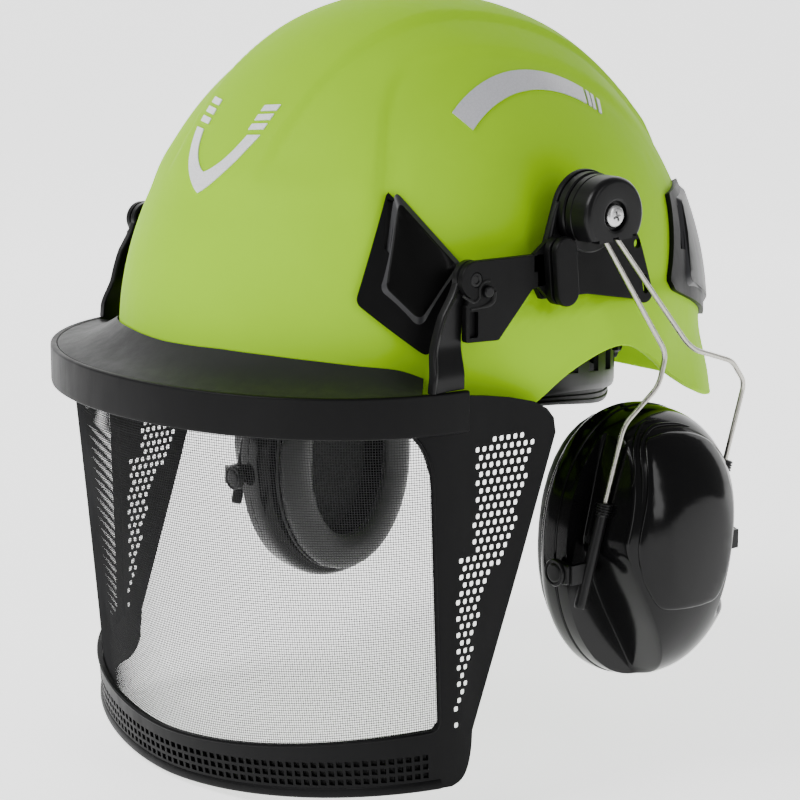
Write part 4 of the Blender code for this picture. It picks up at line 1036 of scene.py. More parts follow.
def visor_arm(side, label):
    """Blade with a raised rounded front edge, ending in a round head at the hinge."""
    shape = Shape()
    rings = []
    for z, front, rear in spline(ARM_LINE, 5):
        lean = ARM_LEAN * (1 - smooth_step(35.0, 47.5, z))
        low, high = ARM_X[0] + lean, ARM_X[1] + lean
        ring = [(low + 0.4, front), (low, front + 0.6), (low, rear - 0.4), (low + 0.4, rear),
                (high - 0.4, rear), (high, rear - 0.5), (high, front + 2.3), (high + 0.45, front + 1.7),
                (high + 0.6, front + 0.9), (high + 0.3, front + 0.25), (high - 0.4, front)]
        rings.append([(side * x, y, z) for x, y in ring])
    shape.loft(rings)
    head = circle(HINGE_Y, HINGE_Z, HINGE_HEAD, 48)
    low, high = ARM_X
    shape.loft([across(side, x, inset(head, depth))
                for x, depth in ((low, 0.6), (low + 0.5, 0.001), (high - 0.4, 0.001), (high, 0.4))])
    shape.object(f"visor_arm_blade_{label}", BLACK_SATIN, "visor", 34, [f"visor_arm_{label}"])


DRUM_BACK = 113.3                # the drum cap's inner rim
DRUM_FLOOR = DRUM_FACE - 2.2     # the inner side of its face
# the cap's lower side: a slightly rising flat with three teeth between shallow notches
COVER_FLAT = [(-30, 60), (40, 60), (40, 85.2), (16.2, 83.6), (15.9, 85.0), (13.0, 84.8), (12.8, 83.4),
              (5.6, 83.0), (5.4, 84.4), (2.4, 84.2), (2.2, 82.8), (-4.8, 82.4), (-5.0, 83.8), (-7.8, 83.6),
              (-8.0, 82.2), (-30, 81.0)]


def drum_part(side, name, profile, sides, *piece, closed=False):
    return lofted(turned_x(side, DRUM_Y, DRUM_Z, profile, sides), name, *piece, closed=closed)


def drum(side, label):
    """Seat on the bracket plate, ribbed round cap, and the screw through both."""
    low, high = PLATE_X[1] + 0.35, DRUM_BACK - 0.4
    seat = DRUM_RADIUS + 0.6
    profile = [(low, 4.2), (low, seat), (high - 0.5, seat), (high, seat - 0.6), (high, 4.2)]
    drum_part(side, f"drum_seat_{label}", profile, 72, BLACK_SATIN, "helmet", 30, [f"drum_base_{label}"],
              closed=True)
    back, floor, face, wide = DRUM_BACK, DRUM_FLOOR, DRUM_FACE, DRUM_RADIUS
    profile = [(back, wide - 0.4), (113.6, wide), (116.2, wide), (116.5, wide - 0.3), (116.9, wide - 0.3),
               (117.2, wide), (123.6, wide), (124.9, wide - 0.25), (125.8, wide - 0.8), (126.3, wide - 1.5),
               (face, wide - 2.3), (face, 7.0), (face - 0.2, 6.4), (face - 0.6, 6.0), (floor, 5.8),
               (floor, 4.6), (back, 4.6), (back, 6.6), (floor - 2.2, 6.6), (floor - 2.2, wide - 1.6),
               (back, wide - 1.6)]
    cover = drum_part(side, f"drum_cover_{label}", profile, 96, BLACK_SATIN, f"drum_{label}", 28,
                      [f"drum_cap_{label}"], closed=True)
    tool = Shape()
    tool.loft(bar(side, COVER_FLAT, 112.0, 130.0))
    cut(cover, tool, f"cover_flat_{label}", 28.0)
    head = floor + 0.35
    profile = [(PLATE_X[0], 3.2), (head, 3.2), (head, 4.6), (face - 1.1, 4.6), (face - 0.4, 4.2),
               (face + 0.1, 3.4), (face + 0.3, 2.4), (face + 0.35, 0.8)]
    screw = drum_part(side, f"axle_screw_{label}", profile, 40, SCREW_STEEL, "helmet", 30,
                      [f"drum_screw_{label}"])
    for turn in (0.35, 0.35 + math.pi / 2):
        cross_slot(side, label, screw, turn)


def cross_slot(side, label, screw, turn):
    """One tapering slot across the screw's head."""
    along = Vector((0, math.cos(turn), math.sin(turn)))
    aside = Vector((0, -math.sin(turn), math.cos(turn)))
    slot = Shape()
    rings = []
    for x, wide, long in ((DRUM_FACE - 1.6, 0.25, 0.9), (DRUM_FACE + 0.8, 0.55, 2.5)):
        corners = ((-long, -wide), (long, -wide), (long, wide), (-long, wide))
        rings.append([Vector((side * x, DRUM_Y, DRUM_Z)) + along * a + aside * b for a, b in corners])
    slot.loft(rings)
    cut(screw, slot, f"cross_recess_{label}")


# ---------------------------------------------------------------- wire, yokes and cups
LEG = Vector((-0.06, -0.25, -0.966)).normalized()
FRONT_LEG, REAR_LEG = Vector((116.7, 3.2, -45.0)), Vector((121.0, 84.8, 15.0))
CUP_Y, CUP_Z, CUP_WIDE, CUP_HIGH = 40.0, -47.5, 45.0, 57.0
CUP_TILT = math.radians(1.0)
CUP_BACK = 103.5                 # where the cup's shell meets its back ring
PIVOT_X, PIVOT_Z = 108.0, -52.5


def leg_point(on_leg, z):
    return on_leg + LEG * ((z - on_leg.z) / LEG.z)


def rounded_path(corners, bend, steps=8):
    out = [corners[0].copy()]
    for before, at, after in zip(corners, corners[1:], corners[2:]):
        reach = min(bend, (at - before).length * 0.45, (after - at).length * 0.45)
        start = at + (before - at).normalized() * reach
        stop = at + (after - at).normalized() * reach
        out += [start * (1 - t) ** 2 + at * 2 * t * (1 - t) + stop * t ** 2
                for t in (i / steps for i in range(steps + 1))]
    out.append(corners[-1].copy())
    return out


BAR_TOP = 3.8, 9.6, 10.2         # y of the cross bar's front corner, rear corner and rear bend
LEG_FOOT = -38.0                 # height at which the wire's legs end inside the sleeves


def mirrored(side, p):
    return Vector((p.x * side, p.y, p.z))


def ear_wire(side, label):
    """Two legs from the sleeves up to a cross bar inside the drum."""
    corners = [leg_point(FRONT_LEG, LEG_FOOT), leg_point(FRONT_LEG, 6.5), (124.6, 31.0, 21.5),
               (125.0, 34.4, 34.5), (SWING_X, BAR_TOP[0], SWING_Z - 1.5), (SWING_X, BAR_TOP[0], SWING_Z),
               (SWING_X, BAR_TOP[1], SWING_Z), (SWING_X, BAR_TOP[2], SWING_Z - 1.5),
               (125.0, 46.0, 37.5), (125.2, 51.0, 33.8), (123.2, 75.0, 26.0), leg_point(REAR_LEG, 15.5),
               leg_point(REAR_LEG, LEG_FOOT)]
    path = rounded_path([mirrored(side, Vector(p)) for p in corners], 4.0)
    lofted(tube(path, 1.05, 16), f"spring_wire_{label}", STEEL, f"wire_{label}", 60, [f"ear_wire_{label}"])


def yoke(side, label, place, leg, top, sign):
    """Sleeve with a ribbed head, a foot to the cup's flank and a round pivot button."""
    body = f"yokes_{label}"
    length = (top + 67.0) / -LEG.z
    profile = [(0.0, 1.35), (0.0, 2.7), (0.3, 3.2)]
    for k in range(4):
        profile += [(a + k * 1.1, r) for a, r in ((0.5, 3.4), (1.0, 3.4), (1.2, 2.9), (1.4, 2.9))]
    profile += [(5.0, 3.1), (5.8, 2.5), (length - 1.5, 2.5), (length - 0.3, 2.2), (length, 1.9),
                (length, 1.35)]
    shape = Shape()
    shape.loft(turned(mirrored(side, leg_point(leg, top)), mirrored(side, LEG), profile, 28), closed=True)
    near = CUP_Y + sign * (CUP_WIDE + 1.2)
    far = near + sign * 3.0
    at = leg_point(leg, PIVOT_Z)
    foot = [(PIVOT_X - 5.4, 0.0), (PIVOT_X - 2.5, -5.2), (PIVOT_X + 3.0, -4.6), (at.x - 1.0, -4.0),
            (at.x - 1.0, 4.0), (PIVOT_X + 3.0, 4.6), (PIVOT_X - 2.5, 5.2)]
    foot = rounded([(x, PIVOT_Z + z) for x, z in foot], 1.6, 4)
    shape.loft([[(side * x, y, z) for x, z in inset(foot, depth)]
                for y, depth in ((near, 0.3), (near + sign * 0.4, 0.0), (far - sign * 0.8, 0.0),
                                 (far - sign * 0.2, 0.4), (far, 1.0))])
    if sign * (at.y - far) < 0:
        web = [(at.x + x, PIVOT_Z + z) for x, z in ((-1.9, -4), (0.4, -4), (0.4, 4), (-1.9, 4))]
        shape.loft([[(side * x, y, z) for x, z in web] for y in sorted((far - sign * 1.4, at.y))])
    shape.object(f"yoke_{place}_sleeve_{label}", BLACK_SATIN, body, 36, [f"yoke_{place}_{label}"])
    button = [(-0.5, 5.6), (0.5, 5.6), (0.9, 5.3), (0.9, 4.7), (0.5, 4.5), (0.5, 4.0), (0.9, 3.7), (1.1, 3.2),
              (1.2, 1.0)]
    lofted(turned((side * PIVOT_X, far, PIVOT_Z), (0, sign, 0), button, 40), f"pivot_button_{place}_{label}",
           BLACK_SATIN, body, 36)


CUP_POWER = 2.2                  # of the cup's oval; 2 would be an ellipse
CUP_RIM_WIDE, CUP_RIM_HIGH = CUP_WIDE - 0.6, CUP_HIGH - 0.6


def cup_world(x, y, z, side):
    """A point in the cup's own axes placed on the helmet."""
    return (side * x, CUP_Y + y * math.cos(CUP_TILT) + z * math.sin(CUP_TILT),
            CUP_Z - y * math.sin(CUP_TILT) + z * math.cos(CUP_TILT))


def cup_oval(x, half_y, half_z, side, steps=96):
    """A ring of the cup's leaning oval, drawn to a softer point below."""
    ring, m = [], 2 / CUP_POWER
    for j in range(steps):
        a = 2 * math.pi * j / steps
        y = half_y * signed_power(math.cos(a), m)
        z = half_z * signed_power(math.sin(a), m)
        if z < 0:
            y *= 1 - 0.1 * (z / half_z) ** 2
        ring.append(cup_world(x, y, z, side))
    return ring


def cup_rings(sizes, side, steps=96):
    return [cup_oval(x, half_y, half_z, side, steps) for x, half_y, half_z in sizes]


def cup_radius(y, z):
    """Share of the way from the cup's centre to its rim, for local coordinates."""
    if z < 0:
        y /= 1 - 0.1 * min(1.0, (z / CUP_HIGH) ** 2)
    return (abs(y / CUP_RIM_WIDE) ** CUP_POWER + abs(z / CUP_RIM_HIGH) ** CUP_POWER) ** (1 / CUP_POWER)


# how far the front recess wall swings back from its leg towards the cup's lower tip: (height, distance)
FRONT_FLARE = ((-104, 47), (-92, 37), (-80, 27), (-71, 19.5), (-60, 11.3), (-50, 5), (-42, 0))


def wall_line(leg, sign, z):
    """Local y of the recess wall beside a leg, at a local height."""
    y = 0.0
    for _ in range(3):
        height = CUP_Z - y * math.sin(CUP_TILT) + z * math.cos(CUP_TILT)
        across = leg_point(leg, height).y - sign * 4.6
        if sign < 0:
            across += smooth_table(FRONT_FLARE, height, 4.0)
        y = (across - CUP_Y - z * math.sin(CUP_TILT)) / math.cos(CUP_TILT)
    return y


def cup_surface(y, z):
    """Height of the cup's outer face: a dome with a channel cut beside each leg."""
    r = min(1.0, cup_radius(y, z))
    dome = CUP_BACK + 36.8 * (1 - r ** 2.15) ** 0.42
    face = 139.4 - 0.0024 * (z + 4) ** 2 - 0.0035 * (y + 2) ** 2
    dome = min(dome, face + 0.6 * (dome - face) * 0.1 if dome > face else dome)
    height = CUP_Z - y * math.sin(CUP_TILT) + z * math.cos(CUP_TILT)
    front = smooth_step(0.4, 4.4, wall_line(FRONT_LEG, -1, z) - y)
    rear = smooth_step(0.4, 4.4, y - wall_line(REAR_LEG, 1, z))
    channel = min(dome, 108.9 + 0.6 * smooth_step(1.0, 0.7, r))
    return dome + (channel - dome) * max(front, rear * smooth_step(-78.0, -64.0, height))


def cup_columns(z, half):
    """Local y stations across the cup at a height, gathered at the rim and at the recess walls."""
    front = max(-half + 0.8, min(half - 1.6, wall_line(FRONT_LEG, -1, z)))
    rear = min(half - 0.8, max(front + 0.8, wall_line(REAR_LEG, 1, z)))
    flank_front, flank_rear = max(-half + 0.4, front - 4.8), min(half - 0.4, rear + 4.8)
    spans = ((-half, flank_front, 16, lambda t: 1 - math.cos(math.pi / 2 * t)),
             (flank_front, front, 12, lambda t: t),
             (front, rear, 36, lambda t: 0.5 - 0.5 * math.cos(math.pi * t)),
             (rear, flank_rear, 12, lambda t: t),
             (flank_rear, half, 16, lambda t: math.sin(math.pi / 2 * t)))
    out = [a + (b - a) * share(k / count) for a, b, count, share in spans for k in range(count)]
    return out + [half]


def cup_half(z):
    share = max(0.0, 1 - abs(z / CUP_RIM_HIGH) ** CUP_POWER) ** (1 / CUP_POWER)
    return CUP_RIM_WIDE * share * (1 - 0.1 * (z / CUP_HIGH) ** 2 if z < 0 else 1)


def cup_shell(side, label):
    """Glossy outer shell: a domed block between two leg channels, closed by a flat back."""
    shape = Shape()
    rows = 110
    outer, back = [], []
    for i in range(rows + 1):
        z = -(CUP_RIM_HIGH - 0.02) * math.cos(math.pi * i / rows)
        stations = cup_columns(z, max(0.02, cup_half(z)))
        outer.append([cup_world(max(CUP_BACK + 0.4, cup_surface(y, z)), y, z, side) for y in stations])
        back.append([cup_world(CUP_BACK, y, z, side) for y in stations])
    shape.sheet(outer, back)
    shape.object(f"cup_dome_{label}", GLOSS, f"cup_{label}", 42, [f"cup_shell_{label}"])


BADGE = [(-17.0, 45.0), (-23.0, 27.0), (-28.0, 8.0), (-26.5, -5.0), (-22.5, -13.5), (-17.0, -20.0),
         (-8.0, -21.5), (6.0, -21.5), (14.5, -19.5), (20.0, -9.0), (24.0, 8.0), (26.0, 26.0), (21.5, 40.5),
         (12.0, 46.5), (0.0, 49.0), (-10.0, 48.5)]
BADGE_LIPS = ([(-25.4, 24.0), (-19.6, 43.0), (-10.6, 50.6), (1.0, 51.4), (10.0, 49.4)],
              [(-26.6, 30.0), (-21.4, 44.0), (-12.6, 51.8), (-4.0, 53.2)])


def cup_cover(side, label):
    """Raised D-shaped badge plate on the crown with a rounded rim, and two lips above it."""
    def lift(y, z, rise):
        return cup_world(cup_surface(y, z) + rise, y, z, side)

    outline = dense(spline(BADGE, 6, True), 2.0)
    shape = Shape()
    steps = ((0.0, -0.6), (0.0, 0.35), (0.3, 0.85), (0.9, 1.15), (1.8, 1.25))
    flats = [inset(outline, depth) for depth, rise in steps]
    loops = [shape.ring([lift(y, z, rise) for y, z in flat]) for flat, (depth, rise) in zip(flats, steps)]
    for a, b in zip(loops, loops[1:]):
        shape.skin(a, b)
    cap_over(shape, loops[-1], flats[-1], lambda y, z: lift(y, z, steps[-1][1]), 3.0)
    cap_over(shape, loops[0], flats[0], lambda y, z: lift(y, z, steps[0][1]), 6.0)
    shape.object(f"cup_badge_plate_{label}", GLOSS, f"cup_{label}", 40, [f"cup_cover_{label}"])
    lips = Shape()
    for path in BADGE_LIPS:
        curve = spline(path, 8)
        swell = [0.25 + 0.75 * math.sin(math.pi * i / (len(curve) - 1)) for i in range(len(curve))]
        lips.loft(tube([lift(y, z, 0.1) for y, z in curve], swell, 10))
    lips.object(f"cup_lip_{label}", GLOSS, f"cup_{label}", 60)


# the cup's turned-up sections: (distance from the middle plane, half width, half height)
BACK_RING = ((91.5, 27, 41), (91.5, 41.0, 53.0), (92.0, 42.2, 54.2), (93.4, 43.4, 55.4), (95.6, 44.4, 56.4),
             (98.0, 44.8, 56.8), (102.3, 44.9, 56.9), (102.8, 44.6, 56.6), (103.15, 44.1, 56.1),
             (103.15, 27, 41))
CUSHION = ((80.8, 25, 38.5), (80.3, 29, 43), (81.2, 34, 48), (84.4, 37.4, 51.6), (87.6, 38.4, 52.6),
           (90.4, 36.6, 50.8), (90.8, 31, 45), (90.6, 26.2, 39.6), (87.8, 22.6, 35.8), (84.0, 20.8, 34.0))
EAR_FOAM = ((99.2, 8, 18), (98.9, 20, 33.5), (99.4, 23.2, 36.8), (101.5, 24.6, 38.2), (106.0, 23.8, 35.0),
            (109.2, 22.6, 31.2), (110.0, 20.0, 28.0), (110.0, 8, 14))


def cup_ring(side, label):
    """Back ring that carries the cushion, with a seam step where it meets the shell."""
    lofted(cup_rings(BACK_RING, side), f"cup_back_ring_{label}", GLOSS, f"cup_{label}", 40,
           [f"cup_ring_{label}"], closed=True)


# ---------------------------------------------------------------- soft parts
CLOTH_FRAMES = 20


def vertex_places(obj):
    flat = np.empty(len(obj.data.vertices) * 3)
    obj.data.vertices.foreach_get("co", flat)
    return flat.reshape(-1, 3)


def puffed(obj, voxel, pressure, cap):
    """Fill a closed skin with air pressure as cloth, moving no point further than the cap, and keep it."""
    remesh = obj.modifiers.new("even_mesh", "REMESH")
    remesh.mode = "VOXEL"
    remesh.voxel_size = voxel * MM
    settle(obj)
    start = vertex_places(obj)
    cloth = obj.modifiers.new("cloth", "CLOTH")
    cloth.settings.quality = 6
    cloth.settings.mass = 0.35
    cloth.settings.use_pressure = True
    cloth.settings.uniform_pressure_force = pressure
    cloth.settings.tension_stiffness = 12
    cloth.settings.compression_stiffness = 12
    cloth.settings.bending_stiffness = 1.2
    cloth.settings.effector_weights.gravity = 0
    cloth.collision_settings.use_collision = False
    cloth.point_cache.frame_start = 1
    cloth.point_cache.frame_end = CLOTH_FRAMES
    scene = bpy.context.scene
    for number in range(1, CLOTH_FRAMES + 1):
        scene.frame_set(number)
    settle(obj)
    scene.frame_set(1)
    move = vertex_places(obj) - start
    size = np.linalg.norm(move, axis=1)
    share = np.minimum(1.0, cap * MM / np.maximum(size, 1e-9))
    obj.data.vertices.foreach_set("co", (start + move * share[:, None]).ravel())
    smooth = obj.modifiers.new("smooth", "SUBSURF")
    smooth.levels = smooth.render_levels = 1
    settle(obj)
    obj.data.shade_smooth()


def cup_cushion(side, label):
    """Sealing cushion: a soft skin ring over foam, with a welt where it meets the back ring."""
    body = f"cup_{label}"
    cushion = lofted(cup_rings(CUSHION, side, 80), f"ear_cushion_{label}", CUSHION_SKIN, body, 80,
                     [f"cup_cushion_{label}"], closed=True)
    puffed(cushion, 3.2, 3.0, 1.4)
    welt = tube(cup_oval(90.6, 37.2, 51.4, side, 120), 0.7, 10)[:-1]
    lofted(welt, f"cushion_welt_{label}", CUSHION_SKIN, body, 80, closed=True)


def cup_foam(side, label):
    """Soft pad filling the cup's hollow."""
    pad = lofted(cup_rings(EAR_FOAM, side, 64), f"ear_foam_{label}", FOAM, f"cup_{label}", 80,
                 [f"cup_foam_{label}"])
    puffed(pad, 3.4, 2.0, 1.2)


# ---------------------------------------------------------------- visor
BAND_CENTRE, BAND_WIDE, BAND_DEEP, BAND_THICK = -55.0, 115.4, 93.6, 2.6
BAND_TOP, BAND_END = 30.2, 86.5
BAND_POWER, VISOR_POWER = 2.1, 1.82
VISOR_CENTRE = -60.0
SIDE_RUN, SIDE_SPLAY, SPLAY_START = 0.91, 0.12, 8.0      # how far the side panels run back and spread
# rear edge of the visor's side panels, from below upwards: (height, y)
PANEL_REAR = ((-141, -82), (-136, -77), (-129, -76), (-122, -66), (-112, -58), (-44, -33), (0, -16.5),
              (8, -13.5), (14, -14.5), (18, -18), (21.5, -25), (24.3, -37), (26.3, -50), (27.5, -60))


def half_plan(angle, wide, deep, centre, power):
    m = 2 / power
    a = math.radians(max(-90.0, min(90.0, angle)))
    return wide * signed_power(math.sin(a), m), centre - deep * abs(math.cos(a)) ** m


def visor_point(angle, z, inset_by=0.0):
    """Point of the visor's outer face, which widens a little downwards at its sides."""
    wide = 112.3 - 0.012 * z - inset_by
    deep = 83.2 + 0.146 * min(z, 8.0) - inset_by
    x, y = half_plan(angle, wide, deep, VISOR_CENTRE, VISOR_POWER)
    return Vector((x, y, z))


# length along the visor from its middle, measured at the level of the opening, against plan angle
ARC_ANGLES = [90 * i / 240 for i in range(241)]
ARC = [0.0]
for low_angle, high_angle in zip(ARC_ANGLES, ARC_ANGLES[1:]):
    ARC.append(ARC[-1] + (visor_point(high_angle, 0) - visor_point(low_angle, 0)).length)
ARC_SIDE = ARC[-1]


def angle_of(s):
    """Plan angle at a distance along the visor from its middle."""
    return math.copysign(float(np.interp(abs(s), ARC, ARC_ANGLES)), s)


def arc_of(angle):
    return math.copysign(float(np.interp(abs(angle), ARC_ANGLES, ARC)), angle)


def visor_lift(s, z, inset_by):
    """Point of the visor's surface at a distance s along it; beyond the sides it runs back and splays."""
    if abs(s) <= ARC_SIDE:
        return visor_point(angle_of(s), z, inset_by)
    corner = visor_point(math.copysign(90, s), z, inset_by)
    run = SIDE_RUN * (abs(s) - ARC_SIDE)
    splay = SIDE_SPLAY * run * run / (run + SPLAY_START)
    return Vector((corner.x + math.copysign(splay, s), corner.y + run, z))


def sag(s, front, rise):
    """Height of a line along the visor that starts at a height in the middle and rises to the sides."""
    return front + rise * math.sin(math.radians(angle_of(s) if abs(s) < ARC_SIDE else 90)) ** 2


# outline of the pierced field on each side panel: (y, height)
PERFORATED = ((-56, 5.6), (-38.4, 11.9), (-24.6, 6.7), (-28.7, -6.4), (-33.8, -23), (-43.2, -40.5),
              (-52, -54.8), (-61.2, -86), (-69.3, -114.2), (-66.8, -93), (-65.4, -68.9), (-65.1, -36.7),
              (-56.3, -37.4))


STRIP_RISE = 12.5                # of the bottom strip, from its middle to the visor's sides
WINDOW_RISE = 16.0               # of the window's lower edge
WINDOW_TOP, WINDOW_LOW = 22.0, -123.5
HOLE_STEP, ROW_STEP = 3.6, 3.3   # of the pierced side fields
STRIP_STEP, STRIP_ROW = 3.9, 3.65


def spread(reach, count):
    """Evenly spaced distances from -reach to reach."""
    return [reach * (2 * k / count - 1) for k in range(count + 1)]


def rectangle(s, z, half_s, half_z):
    return [(s + a * half_s, z + b * half_z) for a, b in ((-1, -1), (1, -1), (1, 1), (-1, 1))]


def flipped(points):
    return [(-s, z) for s, z in reversed(points)]


def surround_outline():
    """The moulding's outline, unrolled: right side, bottom strip, left side, top."""
    corner = spline([(-58, -107), (-58.6, -114), (-60.5, -121), (-64.5, -126), (-70, -128.3)], 3)
    edge = [(y, z) for z, y in reversed(PANEL_REAR) if z > -107] + corner
    right = [(ARC_SIDE + y - VISOR_CENTRE, z) for y, z in edge]
    bottom = [(-s, sag(-s, -140.5, STRIP_RISE)) for s in spread(ARC_SIDE - 14, 90)]
    return right + bottom + flipped(right) + [(s, 27.5) for s in spread(ARC_SIDE - 6, 60)]


def window_outline():
    """The viewing window, unrolled, with wide upper and small lower corners."""
    reach = arc_of(77.0)
    low = [(-s, sag(-s, -119.5, WINDOW_RISE)) for s in spread(reach, 60)]
    lower = rounded([(reach, 19.0), (reach, low[0][1]), low[2]], [0, 8, 0], 6)[1:-1]
    upper = rounded([(reach - 60, 19.0), (reach, 19.0), (reach, -60)], [0, 26, 0], 12)[1:-1]
    half = upper + lower
    return dense(half + low[3:-3] + flipped(half), 6.0)


def side_holes():
    """Rounded holes in staggered rows over each side field."""
    field = [(ARC_SIDE + y - VISOR_CENTRE, z) for y, z in PERFORATED]
    holes = []
    for row in range(39):
        z = 12.0 - ROW_STEP * row
        for k in range(19):
            s = ARC_SIDE - 16 + HOLE_STEP * (k + 0.5 * (row % 2))
            if inside((s, z), field):
                hole = rounded(rectangle(s, z, 1.25, 1.1), 0.85, 3)
                holes += [hole, flipped(hole)]
    return holes


def strip_holes():
    """Three aligned rows of small holes along the bottom strip."""
    reach = int((ARC_SIDE - 22) / STRIP_STEP)
    stations = [STRIP_STEP * k for k in range(-reach, reach + 1)]
    return [rectangle(s, sag(s, -134.2, STRIP_RISE) + STRIP_ROW * row, 1.3, 1.15)
            for row in range(3) for s in stations]


def visor_surround():
    """Side panels and bottom strip in one moulding, with pierced side fields and a dotted lower strip."""
    def lift(s, z, level):
        thick = 0.7 if abs(s) > ARC_SIDE - 17 and -118 < z < 13 else 1.8
        return visor_lift(s, z, thick * (1 - level))

    def along(reach, count, front, depth):
        return [visor_lift(s, sag(s, front, STRIP_RISE), depth) for s in spread(reach, count)]

    window = window_outline()
    shape = Shape()
    shape.plate(surround_outline(), [window] + side_holes() + strip_holes(), (5.0, 9.0), lift)
    shape.object("visor_surround", VISOR_BLACK, "visor", 32, ["visor_frame"])
    # deep-black strip behind the bottom strip's holes: painted shade seen through them
    outer, inner = ([along(ARC_SIDE - 18, 120, front, depth) for front in (-124.6, -130.0, -136.4)]
                    for depth in (1.82, 2.3))
    walled(outer, inner, "lower_strip_backing", SHADE_BLACK, "visor", 30)
    lip = ((-140.6, 0.2), (-140.3, 0.7), (-139.4, 0.95), (-137.9, 0.8), (-136.9, 0.35), (-136.6, 0.0))
    trim = Shape()
    trim.sheet([along(ARC_SIDE - 16, 140, front, -proud) for front, proud in lip],
               [along(ARC_SIDE - 16, 140, front, 0.6) for front, proud in lip])
    bead = [visor_lift(s, z, 0.0) for s, z in offset_outline(dense(window, 3.0), 0.9)]
    trim.loft(tube(bead, 0.55, 8), closed=True)
    trim.object("visor_beads", VISOR_BLACK, "visor", 60)


def visor_gauze():
    """Woven wires of the viewing window, crossing at two depths inside a round border."""
    pitch, radius = 1.07, 0.14
    reach = arc_of(79.0)
    fine = spread(reach, 96)
    shape = Shape()
    for s in spread(reach, int(2 * reach / pitch)):
        low = sag(s, WINDOW_LOW, WINDOW_RISE)
        shape.loft(tube([visor_lift(s, WINDOW_TOP + (low - WINDOW_TOP) * i / 8, 2.45) for i in range(9)],
                        radius, 4))
    rows = int((WINDOW_TOP - WINDOW_LOW) / pitch)
    for k in range(rows + 1):
        t = k / rows
        front = WINDOW_TOP + (WINDOW_LOW - WINDOW_TOP) * t
        rise = WINDOW_RISE * max(0.0, (t - 0.15) / 0.85)
        shape.loft(tube([visor_lift(s, sag(s, front, rise), 2.65) for s in fine], radius, 4))
    border = [(s, 21.6) for s in fine] + [(reach, 10.0 - 10 * i) for i in range(12)]
    border += [(-s, sag(-s, -123.2, WINDOW_RISE)) for s in fine]
    border += [(-reach, -100.0 + 10 * i) for i in range(12)]
    shape.loft(tube([visor_lift(s, z, 2.6) for s, z in border], 0.55, 6), closed=True)
    shape.object("visor_weave", GAUZE, "visor", 60, ["visor_mesh"])


def brow_band():
    """Rigid band across the brow, with a rounded lip along its upper edge."""
    low, high, back = 13.8, BAND_TOP, BAND_THICK
    profile = [(high, 1.2), (30.15, 0.6), (29.8, 0.15), (29.3, 0.0), (15.2, 0.0), (14.2, 0.2), (low, 0.7),
               (low, 2.0), (14.1, back), (29.9, back), (high, 2.1)]
    rings = []
    for angle in spread(BAND_END, 150):
        ring = []
        for z, depth in profile:
            x, y = half_plan(angle, BAND_WIDE - depth, BAND_DEEP - depth, BAND_CENTRE, BAND_POWER)
            ring.append((x, y, z))
        rings.append(ring)
    band = lofted(rings, "brow_bar", BLACK, "visor", 40, ["brow_band"])
    soften(band, 0.5, 2, 60)


# where the flap meets the shell: (plan angle, height)
FLAP_LINE = ((0, 40.4), (16, 41.2), (28, 40.4), (38, 39.0), (46, 37.4), (52.5, 36.2), (56, 34.4), (60, 30.5))


def brow_flap():
    """Soft flap from the band's upper rim up to the shell, with a thin feathered lip."""
    across_steps = 16
    outer, inner = [], []
    for i in range(across_steps + 1):
        t = i / across_steps
        row = []
        for s in spread(1.0, 120):
            angle = 58.5 * s
            at_shell = shell(angle, smooth_table(FLAP_LINE, abs(angle), 2.0), 0.9)
            x, y = half_plan(74.5 * s, BAND_WIDE - 2.95, BAND_DEEP - 2.95, BAND_CENTRE, BAND_POWER)
            p = at_shell.lerp(Vector((x, y, BAND_TOP - 0.3)), t)
            p.z -= 2.6 * math.sin(math.pi * t) * (1 - 0.5 * t)
            row.append(p)
        down = Vector((0, 0, 0.7 + 0.8 * smooth_step(0.0, 0.3, t)))
        outer.append(row)
        inner.append([p - down for p in row])
    walled(outer, inner, "brow_seal", RUBBER, "visor", 50, ["brow_flap"])


# ---------------------------------------------------------------- head harness
HEAD_HALF_WIDTH, HEAD_HALF_LENGTH, HEAD_CENTRE_Y = 76.0, 97.0, 3.0       # inside of the headband


def ring_point(angle, z, offset=0.0):
    a = math.radians(angle)
    reach = HEAD_HALF_LENGTH + offset
    return Vector(((HEAD_HALF_WIDTH + offset) * math.sin(a), HEAD_CENTRE_Y - reach * math.cos(a), z))


BAND_HIGH = 26.0                 # height of the headband
FACE_OUT = 2.35                  # where parts on the headband's outside start
CLIP_ANGLES = {"front_left": 42, "rear_left": 140, "rear_right": 220, "front_right": 318}


def band_low(angle):
    return 12.0 - 8.0 * smooth_step(95, 150, fold(angle))


def headband():
    """Strip round the head with rounded edges, pierced by short slots except over the brow."""
    steps = 192
    angles = [360 * j / steps for j in range(steps)]
    outer, inner = [], []
    for level in (0.0, 0.04, 0.1, 0.3, 0.5, 0.7, 0.9, 0.96, 1.0):
        tuck = 0.7 * max(0.0, 1 - min(level, 1 - level) / 0.06)
        for grid, offset in ((outer, 2.0 - tuck), (inner, 0.0)):
            grid.append([ring_point(angle, band_low(angle) + BAND_HIGH * level, offset) for angle in angles])

    def pierced(i, j):
        return fold(360 * (j + 0.5) / steps) > 70 and i in (3, 4) and j % 6 in (1, 2, 3)

    walled(outer, inner, "headband_strip", BLACK_SATIN, "helmet", 35, ["headband"], wrap=True, hole=pierced)


def harness():
    headband()
    for name, angle in CLIP_ANGLES.items():
        suspension_clip(name, angle)
    crown_strap("upper", "front_left", "rear_right", 138.0)
    crown_strap("lower", "front_right", "rear_left", 134.5)
    ratchet()


def clip_point(angle, z, reach):
    return ring_point(angle, z, FACE_OUT).lerp(shell(angle, z, -WALL - 0.6), reach)


